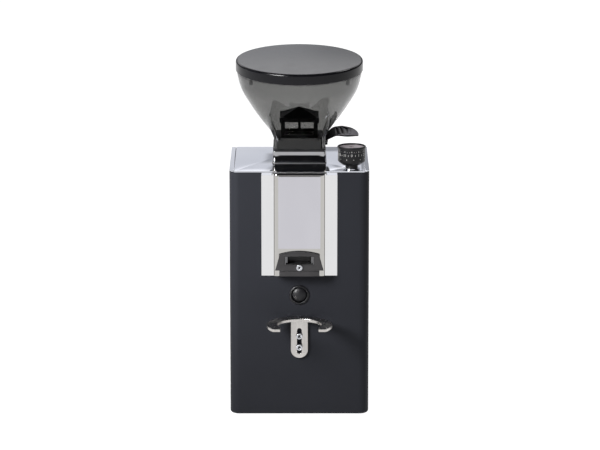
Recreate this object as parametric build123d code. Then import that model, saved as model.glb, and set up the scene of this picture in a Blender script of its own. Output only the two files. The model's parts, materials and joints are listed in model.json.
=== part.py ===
from build123d import *
import math
import os

# Burr coffee grinder, millimetres, +Z up, the front faces -Y.
# Origin: on the surface it stands on, at the centre of the overall bounding box.

# ---- driving dimensions -------------------------------------------------------------
WIDTH = 130.0            # casing
DEPTH = 118.0
CASE_H = 233.4           # casing bottom edge to top of the top plate
FOOT_H = 4.0             # how far the feet stand below the casing
SHEET = 1.2              # sheet steel
CORNER_R = 9.0           # front vertical corners
EDGE_R = 2.5             # bottom edge bend
RETURN = 8.0             # width of the casing's folded flanges
FORK_REACH = 48.5        # fork tips in front of the casing
REAR_REACH = 7.0         # cord gland behind the casing

FRONT = FORK_REACH - (FORK_REACH + DEPTH + REAR_REACH) / 2
BACK = FRONT + DEPTH
HALF_W = WIDTH / 2
TOP = FOOT_H + CASE_H
AXIS_Y = FRONT + 60.0    # burr, motor and hopper axis

# front cut-out with its polished insert, and the chute cover
CUT_HALF = 35.25
CUT_H = 99.9
CHUTE_HALF = 23.75
CHUTE_OUT = 12.0
CHUTE_T = 1.6
BRIDGE_HALF = 24.5
BRIDGE_RISE = 0.4
COVER_H = 97.0
SPOUT_CREST = 73.2       # below the top plate
SPOUT_SHOULDER = 76.0
SPOUT_LEG = 91.4
SPOUT_H = 96.8
WINDOW_HALF = 12.0
WINDOW_TOP = 78.0
WINDOW_BOTTOM = 85.6

# socket block and hopper
BLOCK_HALF = 24.65
BLOCK_FRONT = 36.0       # behind the casing front
BLOCK_BACK = 87.0
BLOCK_H = 11.8
SPIGOT_R = 21.0
SOCKET_R = 21.4
NECK_HALF = 24.1
NECK_CORNER = 5.0
NECK_TOP = 24.0
CONE_TOP = 38.3
CONE_R = 36.1
RIM_Z = 85.3
RIM_R = 58.4
RIM_TILT = 4.75
WALL = 2.2
LID_R = 59.75
LID_H = 10.0

# grinding chamber, burrs and motor, heights above the surface
FLOOR_Z = 184.0
CHAMBER_R = 37.0
CHAMBER_TOP = 222.0
BURR_R = 25.0
BURR_T = 6.5
BURR_GAP = 0.75
BURR_PLANE = 200.0
CARRIER_R = 31.0
MOTOR_HALF = 42.0
STATOR_Z0 = 100.0
STATOR_Z1 = 148.0
SHAFT_R = 6.0
LEG_XY = 36.0

# grind adjuster at the front right corner
KNOB_X = 48.5
KNOB_Y = FRONT + 10.0
KNOB_R = 13.25
KNOB_Z0 = 4.8
KNOB_Z1 = 22.2
BOSS_R = 5.8
BOSS_Z0 = 1.2
STEM_R = 5.4
BUSH_FLANGE_R = 8.6
ADJUST_R = math.hypot(KNOB_X, KNOB_Y - AXIS_Y)
ADJUST_ANGLE = math.degrees(math.atan2(KNOB_Y - AXIS_Y, KNOB_X))
PIVOT_R = 52.0
PIVOT_Z = 206.5

# push button, fork and rear fittings
BUTTON_Z = TOP - 117.8
FORK_TOP = TOP - 138.4
FORK_T = 3.0
FORK_OUTER_R = 30.4
FORK_INNER_R = 20.6
FORK_GAP_HALF = 17.7
TAB_HALF = 8.0
TAB_BOTTOM = TOP - 178.0
SLOT_TOP = TOP - 149.4
SLOT_BOTTOM = TOP - 173.7
SLOT_R = 2.1
FORK_SCREWS_Z = (TOP - 156.6, TOP - 167.4)
SWITCH_X = -45.5
SWITCH_Z = 32.0
GLAND_X = 35.0
GLAND_Z = 24.0
GLAND_BORE_R = 3.6


# ---- helpers ------------------------------------------------------------------------
def box(x0, x1, y0, y1, z0, z1):
    centre = ((x0 + x1) / 2, (y0 + y1) / 2, (z0 + z1) / 2)
    return Pos(*centre) * Box(x1 - x0, y1 - y0, z1 - z0)


def rod(x, y, radius, z0, z1):
    return Pos(x, y, (z0 + z1) / 2) * Cylinder(radius, z1 - z0)


def axial(radius, z0, z1):
    return rod(0, AXIS_Y, radius, z0, z1)


def ring(outer, inner, z0, z1):
    return axial(outer, z0, z1) - axial(inner, z0 - 1, z1 + 1)


def rod_y(x, z, radius, y0, y1):
    return Pos(x, (y0 + y1) / 2, z) * Rot(90, 0, 0) * Cylinder(radius, y1 - y0)


def rod_x(y, z, radius, x0, x1):
    return Pos((x0 + x1) / 2, y, z) * Rot(0, 90, 0) * Cylinder(radius, x1 - x0)


def prism_x(points, x0, x1):
    """A polygon of (y, z) points, extruded from x0 to x1."""
    outline = make_face(Polyline(*[(0, y, z) for y, z in points], close=True))
    return Pos(x0, 0, 0) * extrude(outline, amount=x1 - x0, dir=(1, 0, 0))


def square_prism(half, corner, z0, z1):
    outline = Pos(0, AXIS_Y, z0) * RectangleRounded(2 * half, 2 * half, corner)
    return extrude(outline, amount=z1 - z0)


def at_four(x, y_front, y_back):
    return [(sx * x, y) for sx in (-1, 1) for y in (y_front, y_back)]


def around_axis(shape, count, start=0.0):
    """Copies of a shape drawn about the world Z axis, placed about the burr axis."""
    turns = [start + 360.0 * i / count for i in range(count)]
    return [Pos(0, AXIS_Y, 0) * Rot(0, 0, turn) * shape for turn in turns]


def adjuster_place(shape):
    """From a local frame whose +X runs from the burr axis to the adjusting spindle."""
    return Pos(0, AXIS_Y, 0) * Rot(0, 0, ADJUST_ANGLE) * shape


def fuse(parts):
    total = parts[0]
    for part in parts[1:]:
        total = total + part
    return total


def save(shape, node):
    export_step(shape, f"parts/{node}.step")


# ---- casing -------------------------------------------------------------------------
def casing_block(inset, z0, z1, edge_r):
    block = box(-HALF_W + inset, HALF_W - inset, FRONT + inset, BACK, z0, z1)
    uprights = block.edges().filter_by(Axis.Z).sort_by(Axis.Y)[:2]
    block = fillet(uprights, CORNER_R - inset)
    if edge_r:
        low = block.faces().sort_by(Axis.Z)[0].edges()
        low = [e for e in low if e.center().Y < BACK - 1]
        block = fillet(low, edge_r)
    return block


def front_casing():
    outer = casing_block(0, FOOT_H, TOP - SHEET, EDGE_R)
    inner = casing_block(SHEET, FOOT_H + SHEET, TOP - 2 * SHEET, EDGE_R - SHEET)
    shell = outer - inner
    inside = HALF_W - SHEET - RETURN
    shell -= box(-inside, inside, FRONT + SHEET + RETURN, BACK + 1, FOOT_H - 1, TOP)
    shell -= box(-HALF_W + SHEET, HALF_W - SHEET, BACK - SHEET, BACK + 1, FOOT_H - 1, TOP + 1)
    flange_x = HALF_W - SHEET
    for side in (-1, 1):
        x0, x1 = sorted((side * flange_x, side * (flange_x - RETURN)))
        shell += box(x0, x1, BACK - 2 * SHEET, BACK - SHEET, FOOT_H + SHEET, TOP - 2 * SHEET)
    shell -= box(-CUT_HALF, CUT_HALF, FRONT - 1, FRONT + 12, TOP - CUT_H, TOP)
    shell -= rod_y(0, BUTTON_Z, 8.1, FRONT - 1, FRONT + 3)
    for z in FORK_SCREWS_Z:
        shell -= rod_y(0, z, 2.0, FRONT - 1, FRONT + 3)
    for x, z in rear_screw_places():
        shell -= rod_y(x, z, 1.5, BACK - 4, BACK)
    return shell - rod(KNOB_X, KNOB_Y, BUSH_FLANGE_R + 0.1, TOP - 4, TOP)


def rear_screw_places():
    x = HALF_W - SHEET - RETURN / 2
    return [(side * x, z) for side in (-1, 1) for z in (FOOT_H + 16, TOP - 16)]


def rear_panel():
    panel = box(-HALF_W + SHEET + 0.1, HALF_W - SHEET - 0.1, BACK - SHEET, BACK,
                FOOT_H + SHEET, TOP - SHEET - 0.1)
    slot = RectangleRounded(36, 3, 1.4)
    for row in range(14):
        for side in (-1, 1):
            place = Pos(side * 23, BACK + 1, 82 + 8 * row) * Rot(90, 0, 0)
            panel -= place * extrude(slot, amount=4)
    for x, z in rear_screw_places():
        panel -= rod_y(x, z, 1.5, BACK - 4, BACK + 1)
    panel -= box(SWITCH_X - 9.5, SWITCH_X + 9.5, BACK - 4, BACK + 1, SWITCH_Z - 13, SWITCH_Z + 13)
    panel -= rod_y(GLAND_X, GLAND_Z, 6.0, BACK - 4, BACK + 1)
    return panel


def rear_panel_screws():
    screws = []
    for x, z in rear_screw_places():
        head = rod_y(x, z, 3.0, BACK, BACK + 1.6)
        head -= rod_y(x, z, 1.1, BACK + 0.8, BACK + 2)
        screws.append(head + rod_y(x, z, 1.45, BACK - 7, BACK))
    return Compound(screws)


def base_plate():
    z0 = FOOT_H + SHEET
    x = HALF_W - SHEET - 1.4
    plate = box(-x, x, FRONT + SHEET + 1.4, BACK - 2 * SHEET - 0.2, z0, z0 + 2)
    plate = fillet(plate.edges().filter_by(Axis.Z).sort_by(Axis.Y)[:2], CORNER_R - SHEET)
    for row in range(7):
        y = AXIS_Y - 24 + 8 * row
        plate -= Pos(0, y, z0 - 1) * extrude(SlotOverall(44, 3.2), amount=4)
    for x, y in foot_places():
        plate -= rod(x, y, 2.0, z0 - 1, z0 + 3)
    return plate


def foot_places():
    return at_four(46.0, FRONT + 32, BACK - 20)


def feet():
    group = []
    for x, y in foot_places():
        foot = Pos(x, y, 0) * Cone(6.6, 8.0, FOOT_H + SHEET, align=(Align.CENTER, Align.CENTER, Align.MIN))
        foot -= rod(x, y, 4.0, -1, 2.2)
        foot -= rod(x, y, 2.0, -1, 8)
        group.append(foot)
    return Compound(group)


def foot_screws():
    group = []
    for x, y in foot_places():
        group.append(rod(x, y, 3.6, 1.0, 2.2) + rod(x, y, 1.95, 2.2, 12.0))
    return Compound(group)


def top_plate():
    z0 = TOP - SHEET
    plate = box(-HALF_W, HALF_W, FRONT, BACK, z0, TOP)
    uprights = plate.edges().filter_by(Axis.Z).sort_by(Axis.Y)[:2]
    plate = fillet(uprights, CORNER_R)
    for side in (-1, 1):
        x = side * (HALF_W - 4.2)
        plate -= box(x - 0.3, x + 0.3, FRONT - 1, BACK + 1, TOP - 0.5, TOP + 1)
        x0, x1 = sorted((side * (BRIDGE_HALF + 0.15), side * (CUT_HALF - 0.2)))
        plate += box(x0, x1, FRONT, FRONT + 0.8, z0 - 2.8, z0)
    plate -= box(-BRIDGE_HALF - 0.1, BRIDGE_HALF + 0.1, FRONT - 1, FRONT + BLOCK_FRONT, z0 - 1, TOP + 1)
    plate -= axial(23.3, z0 - 1, TOP + 1)
    plate -= rod(KNOB_X, KNOB_Y, 7.6, z0 - 1, TOP + 1)
    return plate


def front_insert():
    z1 = TOP - 2 * SHEET - 0.4
    half = CUT_HALF - 0.4
    back = box(-half - 3.2, half + 3.2, FRONT + SHEET, FRONT + SHEET + 1.4, TOP - CUT_H - 3, z1)
    face = box(-half, half, FRONT + 0.8, FRONT + SHEET, TOP - CUT_H + 1.1, z1)
    plate = back + face
    plate -= box(-16, 16, FRONT - 1, FRONT + 5, FLOOR_Z + 3, FLOOR_Z + 22)
    return plate


# ---- chute and spout ----------------------------------------------------------------
def cover_block(inset):
    block = box(-CHUTE_HALF + inset, CHUTE_HALF - inset, FRONT - CHUTE_OUT + inset, FRONT + 0.8,
                TOP - COVER_H, TOP + BRIDGE_RISE - inset)
    uprights = block.edges().filter_by(Axis.Z).sort_by(Axis.Y)[:2]
    block = fillet(uprights, 3.2 - inset)
    bend = [e for e in block.faces().sort_by(Axis.Z)[-1].edges() if e.center().Y < FRONT - 5]
    return fillet(bend, 2.4 - inset)


def spout_outline(grow):
    """Front outline of the spout, as a face in the XZ plane."""
    top = TOP - SPOUT_SHOULDER + grow
    crest = TOP - SPOUT_CREST + grow
    leg = TOP - SPOUT_LEG
    low = TOP - SPOUT_H
    body = 18.7 + grow
    foot = 22.5 + grow
    arch = ThreePointArc((-body, 0, top), (0, 0, crest), (body, 0, top))
    sides = Polyline((body, 0, top), (body + 0.4, 0, top - 4), (foot, 0, leg), (body, 0, leg),
                     (body, 0, low), (-body, 0, low), (-body, 0, leg), (-foot, 0, leg),
                     (-body - 0.4, 0, top - 4), (-body, 0, top))
    return make_face([arch, sides])


def chute_cover():
    shell = cover_block(0)
    inner = cover_block(CHUTE_T)
    shell -= inner
    shell -= box(-CHUTE_HALF + CHUTE_T, CHUTE_HALF - CHUTE_T, FRONT - 6, FRONT + 2,
                 TOP - COVER_H - 1, TOP - SHEET)
    z0 = TOP - SHEET
    shell += box(-BRIDGE_HALF, BRIDGE_HALF, FRONT, FRONT + BLOCK_FRONT, z0, TOP + BRIDGE_RISE)
    shell -= box(-21.2, 21.2, FRONT - CHUTE_OUT - 1, FRONT - CHUTE_OUT + 0.5, TOP - 2.6, TOP - 2.0)
    window = Pos(0, FRONT - CHUTE_OUT - 1, 0) * extrude(spout_outline(0.15), amount=4, dir=(0, 1, 0))
    window -= box(-40, 40, FRONT - 40, FRONT, TOP - 120, TOP - SPOUT_LEG)
    shell -= window & box(-19.0, 19.0, FRONT - 40, FRONT, TOP - 100, TOP)
    shell -= box(-18.9, 18.9, FRONT - CHUTE_OUT - 1, FRONT - 2, TOP - 120, TOP - SPOUT_LEG + 1)
    return shell


def chute_duct():
    z0, z1 = FLOOR_Z + 4.5, FLOOR_Z + 20.5
    wall = 1.5
    level = box(-12, 12, FRONT - 9.8, AXIS_Y - 20, z0, z1)
    drop = box(-14, 14, FRONT - 9.8, FRONT - 0.8, TOP - SPOUT_SHOULDER + 3.5, z1)
    duct = level + drop
    duct -= box(-12 + wall, 12 - wall, FRONT - 9.8 + wall, AXIS_Y, z0 + wall, z1 - wall)
    duct -= box(-14 + wall, 14 - wall, FRONT - 9.8 + wall, FRONT - 0.8 - wall,
                TOP - SPOUT_SHOULDER, z1 - wall)
    duct -= axial(CHAMBER_R + 0.02, z0 - 5, z1 + 5)
    return duct


def spout():
    face = Pos(0, FRONT - CHUTE_OUT - 2.0, 0) * extrude(spout_outline(0), amount=1.9, dir=(0, 1, 0))
    body = box(-18.6, 18.6, FRONT - CHUTE_OUT - 0.1, FRONT - 1.5, TOP - SPOUT_H, TOP - 76.5)
    lip = box(-18.7, 18.7, FRONT - CHUTE_OUT - 2.8, FRONT - CHUTE_OUT - 1.9, TOP - SPOUT_H, TOP - 91.7)
    piece = face + body + lip
    piece -= box(-14.5, 14.5, FRONT - 10.2, FRONT - 3.0, TOP - 120, TOP - 70)
    piece -= box(-13.4, 13.4, FRONT - 20, FRONT - 8, TOP - WINDOW_BOTTOM, TOP - WINDOW_TOP)
    piece -= rod_y(0, TOP - 88.5, 1.4, FRONT - 20, FRONT - 9)
    return piece


def spout_frame():
    """Two bent steel strips that line the sides of the window."""
    z0, z1 = TOP - WINDOW_BOTTOM + 0.1, TOP - WINDOW_TOP - 0.1
    y0, y1 = FRONT - CHUTE_OUT - 2.2, FRONT - CHUTE_OUT + 1.6
    strips = []
    for side in (-1, 1):
        x0, x1 = sorted((side * (WINDOW_HALF + 0.6), side * 13.3))
        flange0, flange1 = sorted((side * (WINDOW_HALF - 1), side * 13.3))
        strips.append(box(x0, x1, y0, y1, z0, z1) + box(flange0, flange1, y1 - 0.5, y1, z0, z1))
    return Compound(strips)


def spout_screw():
    y = FRONT - CHUTE_OUT - 2.0
    head = fillet(rod_y(0, TOP - 88.5, 2.9, y - 1.6, y).edges().sort_by(Axis.Y)[:1], 1.0)
    head -= Pos(0, y - 1.6, TOP - 88.5) * Rot(90, 0, 0) * extrude(RegularPolygon(1.2, 6), amount=1, both=True)
    return head + rod_y(0, TOP - 88.5, 1.35, y, FRONT - 10.3)


# ---- socket block and hopper --------------------------------------------------------
def neck_block():
    block = box(-BLOCK_HALF, BLOCK_HALF, FRONT + BLOCK_FRONT, FRONT + BLOCK_BACK, TOP, TOP + BLOCK_H)
    block = fillet(block.edges().filter_by(Axis.Z), 2.0)
    foot = box(-BLOCK_HALF - 0.7, BLOCK_HALF + 0.7, FRONT + BLOCK_FRONT, FRONT + BLOCK_BACK + 0.7,
               TOP, TOP + 1.6)
    block += fillet(foot.edges().filter_by(Axis.Z), 2.0)
    block += axial(23.0, TOP - 12.0, TOP)
    block -= axial(SOCKET_R, TOP + 2.4, TOP + 20)
    block -= axial(15.0, TOP - 20, TOP + 5)
    return block


def socket_seal():
    return ring(20.6, 17.0, TOP + 2.4, TOP + 3.6)


def hopper_base():
    """Black insert of the hopper: spigot, flange and the slideway of the gate."""
    base = axial(SPIGOT_R, TOP + 4.0, TOP + BLOCK_H + 0.1)
    base += Pos(0, (BLOCK_FRONT + BLOCK_BACK) / 2 - 60, 0) * square_prism(
        BLOCK_HALF, 2.0, TOP + BLOCK_H + 0.1, TOP + BLOCK_H + 1.6)
    base += square_prism(NECK_HALF - WALL - 0.1, 3.0, TOP + BLOCK_H + 1.6, TOP + NECK_TOP)
    base -= axial(14.0, TOP, TOP + 40)
    base -= box(-19.6, 40, AXIS_Y - 16.4, AXIS_Y + 16.4, TOP + 15.9, TOP + 18.5)
    return base


def bowl_form(inset, low):
    """Solid form of the hopper: square neck, square-to-round cone, round bowl."""
    neck_half = NECK_HALF - inset
    corner = NECK_CORNER - inset
    neck = square_prism(neck_half, corner, low, TOP + NECK_TOP)
    start = Pos(0, AXIS_Y, TOP + NECK_TOP) * RectangleRounded(2 * neck_half, 2 * neck_half, corner)
    cone_r = CONE_R - inset
    end = Pos(0, AXIS_Y, TOP + CONE_TOP) * RectangleRounded(2 * cone_r, 2 * cone_r, 0.995 * cone_r)
    cone = loft([start, end], ruled=True)
    wall = Spline((cone_r, 0, CONE_TOP), (46.0 - inset, 0, 52.6), (54.4 - inset, 0, 66.9),
                  (58.35 - inset, 0, 81.2), tangents=((0.66, 0, 1), (0.09, 0, 1)))
    rest = Polyline((58.35 - inset, 0, 81.2), (RIM_R - inset, 0, 84), (RIM_R - inset, 0, 96),
                    (0, 0, 96), (0, 0, CONE_TOP), (cone_r, 0, CONE_TOP))
    bowl = Pos(0, AXIS_Y, TOP) * revolve(make_face([wall, rest]), Axis.Z)
    return neck + cone + bowl


def rim_place(shape):
    """From the lid's own frame, whose Z=0 is the rim plane, to the tilted rim."""
    return Pos(0, AXIS_Y, TOP + RIM_Z) * Rot(RIM_TILT, 0, 0) * shape


def hopper_bowl():
    above = rim_place(Pos(0, 0, 20.0 - 0.15) * Box(200, 200, 40))
    shell = bowl_form(0, TOP + BLOCK_H + 1.6) - above
    shell -= bowl_form(WALL, TOP + BLOCK_H)
    shell += rim_place(Pos(0, 0, 1.75) * (Cylinder(56.9, 10.5) - Cylinder(54.6, 12)))
    shell -= box(0, 40, AXIS_Y - 16.6, AXIS_Y + 16.6, TOP + 15.7, TOP + 18.7)
    return shell


def hopper_lid():
    lid = Pos(0, 0, LID_H / 2) * Cylinder(LID_R, LID_H)
    lid = fillet(lid.edges().sort_by(Axis.Z)[-1:], 2.4)
    lid = fillet(lid.edges().sort_by(Axis.Z)[:1], 0.8)
    lid -= Pos(0, 0, 3.6) * Cylinder(57.2, 7.6)
    return rim_place(lid)


def hopper_gate():
    plate = box(-19.2, NECK_HALF + 2.4, AXIS_Y - 16.0, AXIS_Y + 16.0, TOP + 16.2, TOP + 18.2)
    root = box(NECK_HALF + 0.5, NECK_HALF + 3.0, AXIS_Y - 5.5, AXIS_Y + 5.5, TOP + 16.2, TOP + 23.9)
    upper = Spline((25.0, 0, 3.4), (30.0, 0, 7.6), (35.0, 0, 9.8), (45.0, 0, 9.0), (57.0, 0, 10.0))
    lower = Spline((57.0, 0, 8.3), (45.0, 0, 7.2), (35.0, 0, 8.0), (30.0, 0, 5.6), (25.0, 0, 1.4))
    ends = [Line((57.0, 0, 10.0), (57.0, 0, 8.3)), Line((25.0, 0, 1.4), (25.0, 0, 3.4))]
    blade = extrude(make_face([upper, ends[0], lower, ends[1]]), amount=8.3, dir=(0, 1, 0), both=True)
    for x in (39.0, 42.4, 45.8):
        blade += Pos(x, -0.6, 8.7) * Rot(0, 0, -35) * Rot(0, 90, 0) * Cylinder(0.8, 7.5)
    outline = Spline((24.0, 3.2), (30.5, 4.6), (36.0, 4.9), (41.0, 6.2), (48.5, 3.8), (53.7, -1.7), (55.6, -8.2))
    edges = Polyline((55.6, -8.2), (30.0, -8.2), (24.0, -6.0), (24.0, 3.2))
    blade = blade & extrude(make_face([outline, edges]), amount=20.0)
    blade = Pos(0, AXIS_Y, TOP + 19.6) * Rot(25, 0, 0) * blade
    blade -= box(0, NECK_HALF + 0.5, FRONT, BACK, TOP, TOP + 40)
    return plate + root + (blade - bowl_form(-0.6, TOP + BLOCK_H))


def finger_guard():
    """Cage over the bean inlet: base ring, posts and a pyramid roof."""
    half = 17.25
    z0, z1, z2, z3 = TOP + NECK_TOP, TOP + 26.5, TOP + 38.5, TOP + 42.5
    cage = square_prism(half, 3.0, z0, z1) - square_prism(half - 2.6, 1.5, z0 - 1, z1 + 1)
    eaves = square_prism(half + 0.4, 3.0, z2, z3) - square_prism(half - 3.0, 1.5, z2 - 1, z3 + 1)
    posts = []
    for ix in (-1, 0, 1):
        for iy in (-1, 0, 1):
            if ix or iy:
                x, y = ix * (half - 1.9), AXIS_Y + iy * (half - 1.9)
                wide = 1.2 if (ix == 0 or iy == 0) else 1.7
                posts.append(box(x - wide, x + wide, y - wide, y + wide, z1 - 0.5, z2 + 0.5))
    lobes = [rod(x, AXIS_Y + y, 2.4, z2 - 0.6, z3 + 0.4) for x, y in at_four(half - 1.2, 1.2 - half, half - 1.2)]
    start = Pos(0, AXIS_Y, z3) * Rectangle(2 * half, 2 * half)
    tip = Pos(0, AXIS_Y, TOP + 50.2) * Rectangle(1.6, 1.6)
    roof = loft([start, tip], ruled=True)
    hollow = loft([Pos(0, AXIS_Y, z3 - 0.1) * Rectangle(2 * half - 6, 2 * half - 6),
                   Pos(0, AXIS_Y, TOP + 48.0) * Rectangle(0.8, 0.8)], ruled=True)
    return fuse([cage, eaves] + posts + lobes + [roof]) - hollow


# ---- grind adjuster -----------------------------------------------------------------
def adjust_knob():
    outline = Polyline((0, 0, BOSS_Z0), (BOSS_R, 0, BOSS_Z0), (BOSS_R, 0, KNOB_Z0), (KNOB_R - 4.4, 0, KNOB_Z0),
                       (KNOB_R - 0.8, 0, KNOB_Z0 + 2.8), (KNOB_R - 0.5, 0, KNOB_Z0 + 3.8),
                       (KNOB_R - 0.5, 0, KNOB_Z1 - 2.2), (KNOB_R, 0, KNOB_Z1 - 1.6), (KNOB_R, 0, KNOB_Z1 - 0.4),
                       (KNOB_R - 0.4, 0, KNOB_Z1), (KNOB_R - 1.6, 0, KNOB_Z1), (KNOB_R - 1.6, 0, KNOB_Z1 - 2.0),
                       (0, 0, KNOB_Z1 - 2.0), (0, 0, BOSS_Z0))
    knob = revolve(make_face(outline), Axis.Z)
    knob -= Pos(0, 0, (BOSS_Z0 + 18.0) / 2) * Cylinder(STEM_R - 1.0, 18.0 - BOSS_Z0)
    return Pos(KNOB_X, KNOB_Y, TOP) * knob


def dial_disc():
    z0 = TOP + KNOB_Z1 - 2.0
    disc = rod(KNOB_X, KNOB_Y, KNOB_R - 1.7, z0, z0 + 0.9)
    return disc - rod(KNOB_X, KNOB_Y, 2.2, z0 + 0.4, z0 + 2)


def adjust_spindle():
    spindle = rod(KNOB_X, KNOB_Y, STEM_R, TOP - 12.0, TOP + BOSS_Z0)
    spindle += rod(KNOB_X, KNOB_Y, STEM_R - 1.0, TOP + BOSS_Z0, TOP + 18.0)
    spindle += rod(KNOB_X, KNOB_Y, 7.0, TOP - 15.0, TOP - 12.1)
    spindle += rod(KNOB_X, KNOB_Y, 4.0, 196.0, TOP - 12.0)
    return spindle


def knob_bushing():
    bush = rod(KNOB_X, KNOB_Y, 7.5, TOP - 12.0, TOP + 1.0)
    bush += rod(KNOB_X, KNOB_Y, BUSH_FLANGE_R, TOP - SHEET - 2.5, TOP - SHEET)
    return bush - rod(KNOB_X, KNOB_Y, STEM_R + 0.05, TOP - 20, TOP + 5)


def adjust_nut():
    nut = rod(KNOB_X, KNOB_Y, 6.8, PIVOT_Z - 6.5, PIVOT_Z + 6.5)
    nut -= rod(KNOB_X, KNOB_Y, 10, PIVOT_Z - 3, PIVOT_Z + 3) - rod(KNOB_X, KNOB_Y, 5.2, PIVOT_Z - 3, PIVOT_Z + 3)
    return nut - rod(KNOB_X, KNOB_Y, 4.06, PIVOT_Z - 10, PIVOT_Z + 10)


def yoke_lever():
    z0, z1 = PIVOT_Z - 2, PIVOT_Z + 2
    lever = box(39.6, ADJUST_R + 2.5, -5.0, 5.0, z0, z1)
    lever += box(60.0, ADJUST_R + 2.5, -8.6, 8.6, z0, z1)
    lever += box(39.6, 42.4, -3.0, 3.0, z1, 209.85)
    lever -= box(63.6, ADJUST_R + 10, -5.7, 5.7, z0 - 1, z1 + 1)
    lever += Pos(PIVOT_R, 0, PIVOT_Z) * Rot(90, 0, 0) * Cylinder(4.2, 10)
    lever -= Pos(PIVOT_R, 0, PIVOT_Z) * Rot(90, 0, 0) * Cylinder(2.05, 30)
    return adjuster_place(lever)


def lever_bracket():
    ears = [box(36.0, 57.0, side * 7.4 - 1.6, side * 7.4 + 1.6, 197, 211) for side in (-1, 1)]
    web = box(36.0, 57.0, -9.0, 9.0, 197, 200)
    bracket = fuse(ears + [web]) - Cylinder(CHAMBER_R, 600)
    bracket += Pos(PIVOT_R, 0, PIVOT_Z) * Rot(90, 0, 0) * Cylinder(2.0, 18)
    return adjuster_place(bracket)


# ---- burrs and grinding chamber -----------------------------------------------------
def grinding_chamber():
    chamber = axial(CHAMBER_R, FLOOR_Z, CHAMBER_TOP)
    chamber -= axial(29.0, FLOOR_Z + 4, CHAMBER_TOP + 1)
    chamber -= axial(CARRIER_R + 0.3, 203.0, CHAMBER_TOP + 1)
    chamber -= axial(7.0, FLOOR_Z - 1, FLOOR_Z + 6)
    chamber -= box(-10.5, 10.5, FRONT, AXIS_Y - 20, FLOOR_Z + 6, FLOOR_Z + 18.5)
    chamber -= adjuster_place(box(25, 45, -5.8, 5.8, 208.0, CHAMBER_TOP + 1))
    for x, y in chamber_screw_places():
        chamber -= rod(x, y, 2.0, FLOOR_Z - 1, FLOOR_Z + 5)
        chamber -= rod(x, y, 3.6, FLOOR_Z + 2, FLOOR_Z + 5)
    return chamber


def chamber_screw_places():
    return [(18.0 * math.cos(a), AXIS_Y + 18.0 * math.sin(a)) for a in
            (math.radians(45 + 90 * i) for i in range(4))]


def chamber_screws():
    return Compound([rod(x, y, 3.5, FLOOR_Z + 2, FLOOR_Z + 3.9) + rod(x, y, 1.95, FLOOR_Z - 8, FLOOR_Z + 2)
                     for x, y in chamber_screw_places()])


def burr(z_cut, z_back):
    """Flat burr ring with slanted cutting grooves on the face at z_cut."""
    z0, z1 = sorted((z_cut, z_back))
    blank = ring(BURR_R, 15.0, z0, z1)
    up = 1 if z_cut > z_back else -1
    groove = Pos(21.0, 4.5, z_cut) * Rot(0, 0, 28) * Rot(40 * up, 0, 0) * Box(16, 1.7, 1.7)
    for cutter in around_axis(groove, 24):
        blank -= cutter
    for hole in around_axis(Pos(20, 0, (z0 + z1) / 2) * Cylinder(1.9, 20), 3, 30):
        blank -= hole
    return blank


def burr_screws(z_back, z_head):
    z0, z1 = sorted((z_back, z_head))
    screw = Pos(20, 0, (z0 + z1) / 2) * Cylinder(1.85, z1 - z0)
    return Compound(around_axis(screw, 3, 30))


def upper_burr_carrier():
    z0 = BURR_PLANE + BURR_GAP + BURR_T
    carrier = ring(CARRIER_R, 14.0, z0, z0 + 8.5)
    carrier -= axial(17.0, z0 + 5, z0 + 20)
    carrier += adjuster_place(box(28, 42.8, -5.0, 5.0, 210, 214))
    for hole in around_axis(Pos(20, 0, z0) * Cylinder(1.85, 9), 3, 30):
        carrier -= hole
    return carrier


def carrier_springs():
    """Three compression springs that push the upper burr carrier up."""
    foot, head = 203.0, BURR_PLANE + BURR_GAP + BURR_T
    wire = 0.35
    coil = Helix(pitch=(head - foot - 2 * wire) / 3, height=head - foot - 2 * wire, radius=1.5)
    section = Plane(origin=coil @ 0, z_dir=coil % 0) * Circle(wire)
    spring = Pos(27.6, 0, foot + wire) * sweep(section, path=coil, is_frenet=True)
    return Compound(around_axis(spring, 3, 90 + ADJUST_ANGLE))


def lower_burr_carrier():
    z0 = BURR_PLANE - BURR_T
    carrier = axial(26.0, z0 - 3.8, z0)
    carrier += axial(9.0, z0, z0 + 4)
    for vane in around_axis(Pos(27.0, 0, z0 - 0.4) * Box(3.0, 4.0, 6.8), 3):
        carrier += vane
    carrier -= axial(4.0, z0 - 10, z0 + 10)
    for hole in around_axis(Pos(20, 0, z0) * Cylinder(1.85, 20), 3, 30):
        carrier -= hole
    return carrier


# ---- motor --------------------------------------------------------------------------
def motor_bolt_places():
    return at_four(LEG_XY, AXIS_Y - LEG_XY, AXIS_Y + LEG_XY)


def drill_bolts(shape):
    for x, y in motor_bolt_places():
        shape -= rod(x, y, 2.0, 40, 180)
    return shape


def motor_flange_top():
    flange = square_prism(MOTOR_HALF, 12.0, STATOR_Z1, STATOR_Z1 + 14)
    flange += axial(22.0, STATOR_Z1 + 14, FLOOR_Z)
    flange -= axial(38.0, STATOR_Z1 - 1, STATOR_Z1 + 10)
    flange -= axial(SHAFT_R + 1.5, STATOR_Z1, FLOOR_Z + 1)
    flange -= axial(14.0, FLOOR_Z - 12, FLOOR_Z + 1)
    for x, y in chamber_screw_places():
        flange -= rod(x, y, 2.0, FLOOR_Z - 9, FLOOR_Z + 1)
    return drill_bolts(flange)


def motor_flange_bottom():
    flange = square_prism(MOTOR_HALF, 12.0, STATOR_Z0 - 14, STATOR_Z0)
    flange += axial(18.0, STATOR_Z0 - 20, STATOR_Z0 - 14)
    flange -= axial(38.0, STATOR_Z0 - 10, STATOR_Z0 + 1)
    flange -= axial(SHAFT_R + 1.5, 60, STATOR_Z0)
    flange -= axial(14.0, 60, STATOR_Z0 - 12)
    return drill_bolts(flange)


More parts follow.
